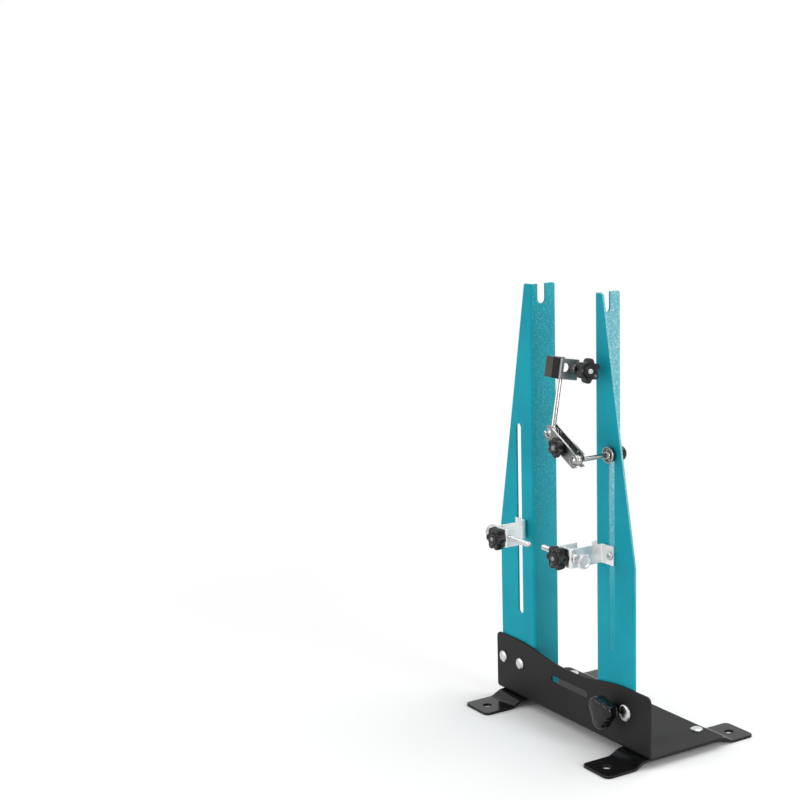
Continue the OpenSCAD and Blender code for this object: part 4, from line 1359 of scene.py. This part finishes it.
@dataclass
class BallArm:
    """The ball-jointed arm: lower rod, its washers and lock knob, and the ball clamp."""

    pieces: Pieces
    x: float = 68.0
    ball_y: float = -87.0
    z: float = 311.0
    flange_y: float = -44.5
    flange_back: float = -42.0
    ball_d: float = 11.5
    rod_d: float = 4.8
    rod_end: float = 53.4
    bore_end: float = 8.6
    pitch: float = 45.5
    slope: float = 29.0
    plate_t: float = 2.0
    plate_edge: float = 0.3
    half_gap: float = 3.825
    seat_d: float = 8.8
    notch: float = 5.6
    rim_r: float = 0.6
    rim_out: float = 0.35
    rim_gap: float = 0.10
    rib_in: float = 9.0
    rib_half: float = 5.8
    rib_pitch: float = 1.5
    rib_h: float = 0.30
    rib_base: float = 0.12
    rib_sunk: float = 0.2
    pin: tuple[float, float] = (2.6, 1.3)
    pin_in: float = 7.0
    pin_up: float = 4.6
    stud_past: tuple[float, float] = (2.0, 2.8)
    star: tuple[float, float] = (21.0, 7.0)
    cup: tuple[float, float] = (17.0, 5.0)
    washer: tuple[float, float] = (15.0, 2.5)
    dome_knob: tuple[float, float, float] = (15.5, 9.0, 5.0)

    def rod_shell(self, length: float) -> Shell:
        """Makes a ball at 0 with a rod along +z: a circle's arc that runs into the rod.

        Args:
            length: Distance of the rod's end from the ball's middle, in mm.

        Returns:
            The closed shell.
        """
        r, q = self.ball_d / 2, self.rod_d / 2
        meet = math.asin((q + 0.5) / r)
        arc = np.linspace(0, math.pi - meet, 26)
        ball = [at(float(r * math.sin(a)), float(-r * math.cos(a))) for a in arc]
        neck = float(r * math.cos(meet))
        return turned(profile([*ball, at(q, neck + 0.9, 0.5), at(q, length - 0.4, 0.1),
                               at(q - 0.4, length, 0.1), at(0, length)], steps=2), columns=48)

    def on_rod(self, y: float, toward: Toward) -> Place:
        """Returns a place on the lower rod's axis."""
        return Place.at(self.x, y, self.z, toward)

    def clamp_place(self) -> Place:
        """Returns the ball clamp's place: the lower ball at 0 and the upper one on -x."""
        return Place.at(self.x, self.ball_y, self.z).turned(1, self.slope)

    def seat_rims(self, place: Place, y: float) -> Parts:
        """Makes the rolled rims of the two ball seats, open at the notches.

        Each is a round bar bent on a circle about the seat, from one side of the notch to the
        other.

        Args:
            place: The ball clamp's place.
            y: Distance of the plate's front face from the balls.

        Returns:
            The two shells and their places.
        """
        radius = self.seat_d / 2 + self.rim_out
        gap = math.asin(self.notch / 2 / radius) + self.rim_gap
        angle = np.linspace(gap, TURN - gap, 40)
        made = []
        for x, way in ((0.0, 1.0), (-self.pitch, -1.0)):
            path = np.stack([way * radius * np.cos(angle), radius * np.sin(angle), 0 * angle],
                            axis=-1)
            made.append((tube(path, self.rim_r), place.inner(x, y, 0, Toward.FRONT)))
        return made

    def ribs(self, place: Place) -> tuple[Shell, Place]:
        """Makes the ribbed inner face of the back plate.

        The height is a cosine wave along the plate, and it sinks into the plate round the edge.

        Args:
            place: The ball clamp's place.

        Returns:
            The closed shell and its place.
        """
        x = np.linspace(-self.pitch + self.rib_in, -self.rib_in, 181)[:, None]
        z = np.linspace(-self.rib_half, self.rib_half, 13)[None, :]
        edge = np.minimum(np.minimum(x + self.pitch - self.rib_in, -self.rib_in - x),
                          self.rib_half - np.abs(z))
        height = self.rib_h * (0.5 + 0.5 * np.cos(TURN * x / self.rib_pitch)) + self.rib_base
        height = np.where(edge < 0.05, -self.rib_sunk, height)
        points = np.stack([x + 0 * z, self.half_gap - height, z + 0 * x], axis=-1)
        floor = points.copy()
        floor[..., 1] = self.half_gap + self.rib_sunk
        points = np.concatenate([points, floor[::-1]])
        along = np.arange(len(points)) * 0.15
        return Shell(points, along, np.zeros(points.shape[:2])), place

    def build(self) -> None:
        """Builds the arm on its bodies."""
        p = self.pieces
        p.turn("lower_rod_ball", [
            (self.rod_shell(self.rod_end), self.on_rod(self.ball_y, Toward.BACK))],
            CHROME, "arm", Slot.ROD, "lower_rod")
        d, t = self.washer
        bore = self.rod_d / 2 + 0.1
        face = self.on_rod(self.flange_y - HAIR, Toward.FRONT)
        ring = turned(profile([at(bore, 0), at(d / 2 - 0.2, 0, 0.2), at(d / 2, t / 2, 0.6),
                               at(d / 2 - 0.2, t, 0.3), at(bore, t), at(bore, 0)]))
        p.turn("arm_washer_ring", [(ring, face)], RUBBER, "arm", Slot.WASHER, "arm_washer")
        c, h = self.cup
        r = c / 2
        cup = turned(profile([
            at(bore, 0), at(r - 0.3, 0, 0.2), at(r, 0.5, 0.3), at(r, 2.6, 0.5),
            at(r - 0.8, 3.0, 0.4), at(r - 1.3, 1.4, 0.4), at(r - 2.0, 2.8, 0.4),
            at(r - 2.7, 0.9, 0.4), at(r - 3.6, 0.7, 0.3), at(r - 4.0, 3.4, 0.5),
            at(bore + 1.2, h - 0.2, 0.5), at(bore + 0.3, h, 0.2), at(bore, h - 0.5, 0.1),
            at(bore, 0)]), columns=72)
        place = self.on_rod(self.flange_y - t, Toward.FRONT)
        p.turn("arm_cup_turned", [(cup, place)], CUP, "arm", Slot.FASTENER, "arm_cup_washer")
        d, straight, dome = self.dome_knob
        r = d / 2
        arc = np.linspace(0, math.pi / 2, 14)
        cap = [at(float(r * math.cos(a)), float(straight + dome * math.sin(a))) for a in arc]
        knob = turned(profile([
            at(0, self.bore_end), at(bore, self.bore_end), at(bore, 0),
            at(r - 0.9, 0, 0.4), at(r - 0.2, 1.2, 0.5), at(r, straight - 3.0, 0.6), *cap],
            steps=3), columns=64)
        place = self.on_rod(self.flange_back + HAIR, Toward.BACK)
        p.turn("arm_lock_knob_domed", [(knob, place)], KNOB, "arm_lock", Slot.KNOB,
               "arm_lock_knob")
        self.build_clamp()

    def build_clamp(self) -> None:
        """Builds the ball clamp: two plates, seat rims, ribs, pins, stud and star knob."""
        p, place = self.pieces, self.clamp_place()
        cut = SheetCut(self.plate_edge, edge_axis=np.array([0.0, 1.0, 0.0]), joined=False)
        for node in ("ball_clamp_front", "ball_clamp_back"):
            p.bend(node, cut, [CLAMP_FACE, CLAMP_EDGE], "ball_clamp", Slot.CLAMP)
        outer = -self.half_gap - self.plate_t
        pin = TURNER.dome_head(*self.pin)
        pins = [(pin, place.inner(x, self.half_gap, self.pin_up, Toward.FRONT))
                for x in (-self.pitch + self.pin_in, -self.pin_in)]
        for name, parts, finish in (
                ("ball_clamp_seat_rims", self.seat_rims(place, outer + 0.15), CLAMP_EDGE),
                ("ball_clamp_ribs", [self.ribs(place)], CLAMP_FACE),
                ("ball_clamp_pins", pins, CHROME)):
            p.turn(name, parts, finish, "ball_clamp", Slot.CLAMP)
        middle = place.inner(-self.pitch / 2, 0, 0, Toward.FRONT)
        stud = fine_thread(TURNER.stud_d, outer - self.stud_past[0],
                           -outer + self.star[1] + self.stud_past[1])
        p.turn("ball_clamp_stud_threaded", [(stud, middle)], STUD, "ball_clamp_lock",
               Slot.FASTENER, "ball_clamp_stud")
        face = place.inner(-self.pitch / 2, outer, 0, Toward.FRONT)
        p.turn("ball_clamp_knob_moulded", [(TURNER.star(*self.star), face)], KNOB,
               "ball_clamp_lock", Slot.KNOB, "ball_clamp_knob")


@dataclass
class DiscGauge:
    """The U-shaped disc gauge on the upper rod, with its screw and star knob."""

    pieces: Pieces
    arm: BallArm
    lean: float = 10.0
    foot: float = 54.0
    near: float = 5.5
    band: float = 11.5
    edge: float = 0.3
    sheet: float = 1.6
    screw_back: float = 13.5
    hole_up: float = 12.0
    rod_end_d: float = 4.0
    rod_past: float = 0.8
    rod_pitch: float = 0.7
    rod_nut: tuple[float, float] = (7.0, 3.2)
    screw_d: float = 5.0
    screw_past: float = 19.8
    nut: tuple[float, float] = (8.0, 3.0)
    nut_play: float = 0.3
    stem: float = 6.0
    tip: float = 4.0
    star: tuple[float, float, float] = (25.5, 10.0, 9.0)

    def place(self) -> Place:
        """Returns the upper rod's place: the upper ball at 0 and the rod along +z."""
        ball = self.arm.clamp_place().put(np.array([-self.arm.pitch, 0.0, 0.0]))
        return Place.at(*ball).turned(0, -self.lean)

    def build(self) -> None:
        """Builds the gauge on its bodies."""
        p, here = self.pieces, self.place()
        end = self.foot + self.sheet + self.rod_nut[1] + self.rod_past
        p.turn("upper_rod_ball", [
            (self.arm.rod_shell(self.foot), here),
            (fine_thread(self.rod_end_d, self.foot - 0.2, end, self.rod_pitch), here)],
            CHROME, "disc_gauge", Slot.ROD, "upper_rod")
        p.turn("rod_nut_hex", [
            (TURNER.nut(*self.rod_nut, self.rod_end_d),
             here.inner(0, 0, self.foot + self.sheet).turned(2, 30))],
            FASTENER, "disc_gauge", Slot.FASTENER, "rod_nut")
        # side walls in plain steel, front faces in a darker copy as painted shade, then a painted
        # black band
        cut = SheetCut(self.edge, edge_axis=np.array([1.0, 0.0, 0.0]),
                       band=float(here.origin[0]) + self.near - self.band)
        p.bend("disc_gauge_bracket", cut, [HEAD_WALL, HEAD_FRONT_SHADED, HEAD_BAND], "disc_gauge",
               Slot.HEAD)
        side = here.inner(self.near, self.screw_back, self.foot + self.hole_up, Toward.RIGHT)
        nut = TURNER.nut(*self.nut, self.screw_d + self.nut_play)
        p.turn("disc_screw_nut_hex", [(nut, side)], FASTENER, "disc_gauge", Slot.FASTENER,
               "disc_screw_nut")
        screw = fine_thread(self.screw_d, -self.sheet - self.tip, self.stem + self.screw_past)
        p.turn("disc_gauge_screw_threaded", [(screw, side)], SCREW, "disc_screw", Slot.SCREW,
               "disc_gauge_screw")
        p.turn("disc_gauge_knob_moulded", [
            (TURNER.star(*self.star), side.inner(0, 0, self.stem))],
            KNOB, "disc_screw", Slot.KNOB, "disc_gauge_knob")


# ---------------------------------------------------------------- studio


@dataclass(frozen=True)
class Softbox:
    """One soft studio lamp: where it stands and aims and its sides, in metres, and its watts."""

    name: str
    place: Triple
    aim: Triple
    sides: tuple[float, float]
    power: float

    def build(self) -> None:
        """Hangs the lamp."""
        lamp = bpy.data.lights.new(self.name, "AREA")
        lamp.shape = "RECTANGLE"
        lamp.size, lamp.size_y = self.sides
        lamp.energy = self.power
        made = bpy.data.objects.new(self.name, lamp)
        made.location = self.place
        way = Vector(self.aim) - Vector(self.place)
        made.rotation_mode = "QUATERNION"
        made.rotation_quaternion = way.to_track_quat("-Z", "Y")
        bpy.context.scene.collection.objects.link(made)


@dataclass(frozen=True)
class Camera:
    """The camera at the photograph's angle, with no shift of its lens.

    Attributes:
        azimuth: Turn of its forward axis from +y towards -x, in degrees.
        elevation: How far it looks down, in degrees.
        roll: Turn about its own axis, in degrees.
        focal: Focal length, in pixels of the frame.
        distance: Distance from the aimed point, in mm.
        aimed: A point of the stand, in mm.
        pixel: Where that point stands in the frame, in pixels.
        side: Side of the square frame, in pixels.
        sensor: Width of its sensor, in mm.
        clip: Nearest and farthest distance that it shows, in metres.
    """

    azimuth: float = 58.74
    elevation: float = 10.20
    roll: float = -1.54
    focal: float = 1631.0
    distance: float = 1716.3
    aimed: Triple = (7.02, -31.47, 220.0)
    pixel: tuple[float, float] = (584.54, 528.62)
    side: float = 800.0
    sensor: float = 36.0
    clip: tuple[float, float] = (0.05, 100.0)

    def build(self) -> None:
        """Makes the camera.

        Its forward axis comes from azimuth and elevation, and roll turns the other two about
        it. It stands back from the aimed point along the ray through that point's pixel.
        """
        a, e, r = (math.radians(v) for v in (self.azimuth, self.elevation, self.roll))
        forward = np.array([-math.sin(a) * math.cos(e), math.cos(a) * math.cos(e), -math.sin(e)])
        level = np.array([math.cos(a), math.sin(a), 0.0])
        upright = np.cross(level, forward)
        right = level * math.cos(r) + upright * math.sin(r)
        up = -level * math.sin(r) + upright * math.cos(r)
        half = self.side / 2
        ray = forward * self.focal + right * (self.pixel[0] - half) - up * (self.pixel[1] - half)
        place = np.array(self.aimed) - ray / np.linalg.norm(ray) * self.distance
        lens = bpy.data.cameras.new("photo_camera")
        lens.sensor_width = self.sensor
        lens.lens = self.sensor * self.focal / self.side
        lens.clip_start, lens.clip_end = self.clip
        made = bpy.data.objects.new("photo_camera", lens)
        turn = np.eye(4)
        turn[:3, 0], turn[:3, 1], turn[:3, 2], turn[:3, 3] = right, up, -forward, place * MM
        made.matrix_world = Matrix(turn.tolist())
        bpy.context.scene.collection.objects.link(made)
        bpy.context.scene.camera = made


@dataclass(frozen=True)
class Studio:
    """A pale floor, a white surround and soft lamps.

    Attributes:
        floor_radius: Radius of the floor, in metres.
        floor_t: Thickness of the floor, in mm.
        floor_colour: Its main colour.
        floor_drift: Share of that colour in its darker patches.
        white_from: Where the floor starts to run out to white, in metres from the stand.
        white_to: Where it is all white, in metres from the stand.
        ambient: Strength of the surround as a light.
        lamps: The soft lamps.
    """

    floor_radius: float = 9.0
    floor_t: float = 20.0
    floor_colour: Colour = (0.955, 0.955, 0.95)
    floor_drift: float = 0.985
    white_from: float = 0.20
    white_to: float = 0.80
    ambient: float = 0.70
    lamps: tuple[Softbox, ...] = (
        Softbox("lamp_top", (0.15, 0.70, 1.60), (0.0, 0.0, 0.15), (1.6, 1.2), 11.0),
        Softbox("lamp_front", (-0.70, -1.70, 0.55), (0.0, -0.05, 0.15), (1.2, 0.9), 9.0),
        Softbox("lamp_right", (1.80, 0.15, 0.85), (0.05, 0.0, 0.28), (0.5, 0.9), 12.0),
    )

    def seen(self, tree: bpy.types.NodeTree) -> bpy.types.NodeSocket:
        """Tells the rays of the camera, of gloss and of glass from the rest.

        Args:
            tree: The node tree that it is added to.

        Returns:
            1 for those rays, and 0 for the rest.
        """
        path = tree.nodes.new("ShaderNodeLightPath")
        total = path.outputs["Is Camera Ray"]
        for key in ("Is Glossy Ray", "Is Transmission Ray"):
            larger = tree.nodes.new("ShaderNodeMath")
            larger.operation = "MAXIMUM"
            tree.links.new(total, larger.inputs[0])
            tree.links.new(path.outputs[key], larger.inputs[1])
            total = larger.outputs[0]
        return total

    def world(self) -> None:
        """Makes the surround: white where it is seen, and softer as a light."""
        made = bpy.data.worlds.new("white_surround")
        bpy.context.scene.world = made
        made.use_nodes = True
        tree = made.node_tree
        background = tree.nodes["Background"]
        background.inputs["Color"].default_value = WHITE
        level = tree.nodes.new("ShaderNodeMapRange")
        tree.links.new(self.seen(tree), level.inputs["Value"])
        level.inputs["To Min"].default_value = self.ambient
        level.inputs["To Max"].default_value = 1.0
        tree.links.new(level.outputs["Result"], background.inputs["Strength"])

    def floor_finish(self) -> bpy.types.Material:
        """Makes the floor's paint: pale near the stand, and white where it runs out of sight.

        Returns:
            The material.
        """
        g = Graph("floor_paint")
        darker = tuple(self.floor_drift * c for c in self.floor_colour)
        g.give("Base Color", g.blend(g.noise(0.004, 2.0), self.floor_colour, darker))
        g.give("Specular IOR Level", 0.15)
        g.give("Roughness", g.between(g.noise(0.02, 3.0), 0.3, 0.7, 0.55, 0.7))
        g.give("Normal", g.bump(g.noise(0.6, 2.0), 0.004))
        away = g.add("ShaderNodeVectorMath", operation="LENGTH")
        g.join(g.mm, away.inputs[0])
        far = g.between(away.outputs["Value"], self.white_from / MM, self.white_to / MM)
        glow = g.add("ShaderNodeEmission")
        glow.inputs["Color"].default_value = WHITE
        both = g.add("ShaderNodeMixShader")
        g.join(g.maths("MULTIPLY", far, self.seen(g.tree)), both.inputs[0])
        g.join(g.shader.outputs["BSDF"], both.inputs[1])
        g.join(glow.outputs["Emission"], both.inputs[2])
        g.join(both.outputs["Shader"], g.out.inputs["Surface"])
        return g.made

    def build(self) -> None:
        """Lays the floor, hangs the lamps and sets the view."""
        pieces = Pieces()
        r = self.floor_radius / MM
        rows = profile([at(0, 0), at(r * 0.05, 0), at(r * 0.3, 0), at(r, 0),
                        at(r, -self.floor_t), at(0, -self.floor_t)])
        floor = pieces.shells("studio_floor", [(turned(rows, columns=64), Place.at(0, 0, 0))])
        floor.data.materials.append(self.floor_finish())
        self.world()
        for lamp in self.lamps:
            lamp.build()
        bpy.context.scene.view_settings.view_transform = "Standard"


def main() -> None:
    """Builds the stand's looks, the studio and the camera, in order."""
    logging.basicConfig(level=logging.INFO, format="%(message)s")
    pieces = Pieces()
    Camera().build()
    Base(pieces).build()
    Uprights(pieces).build()
    SideGauge(pieces, "right", out=1.0, slot_x=68.0, height=207.0).build()
    SideGauge(pieces, "left", out=-1.0, slot_x=-91.0, height=204.0).build()
    arm = BallArm(pieces)
    arm.build()
    DiscGauge(pieces, arm).build()
    Studio().build()
    LOG.info("%d pieces dressed", len(pieces.made))


if __name__ == "__main__":
    main()
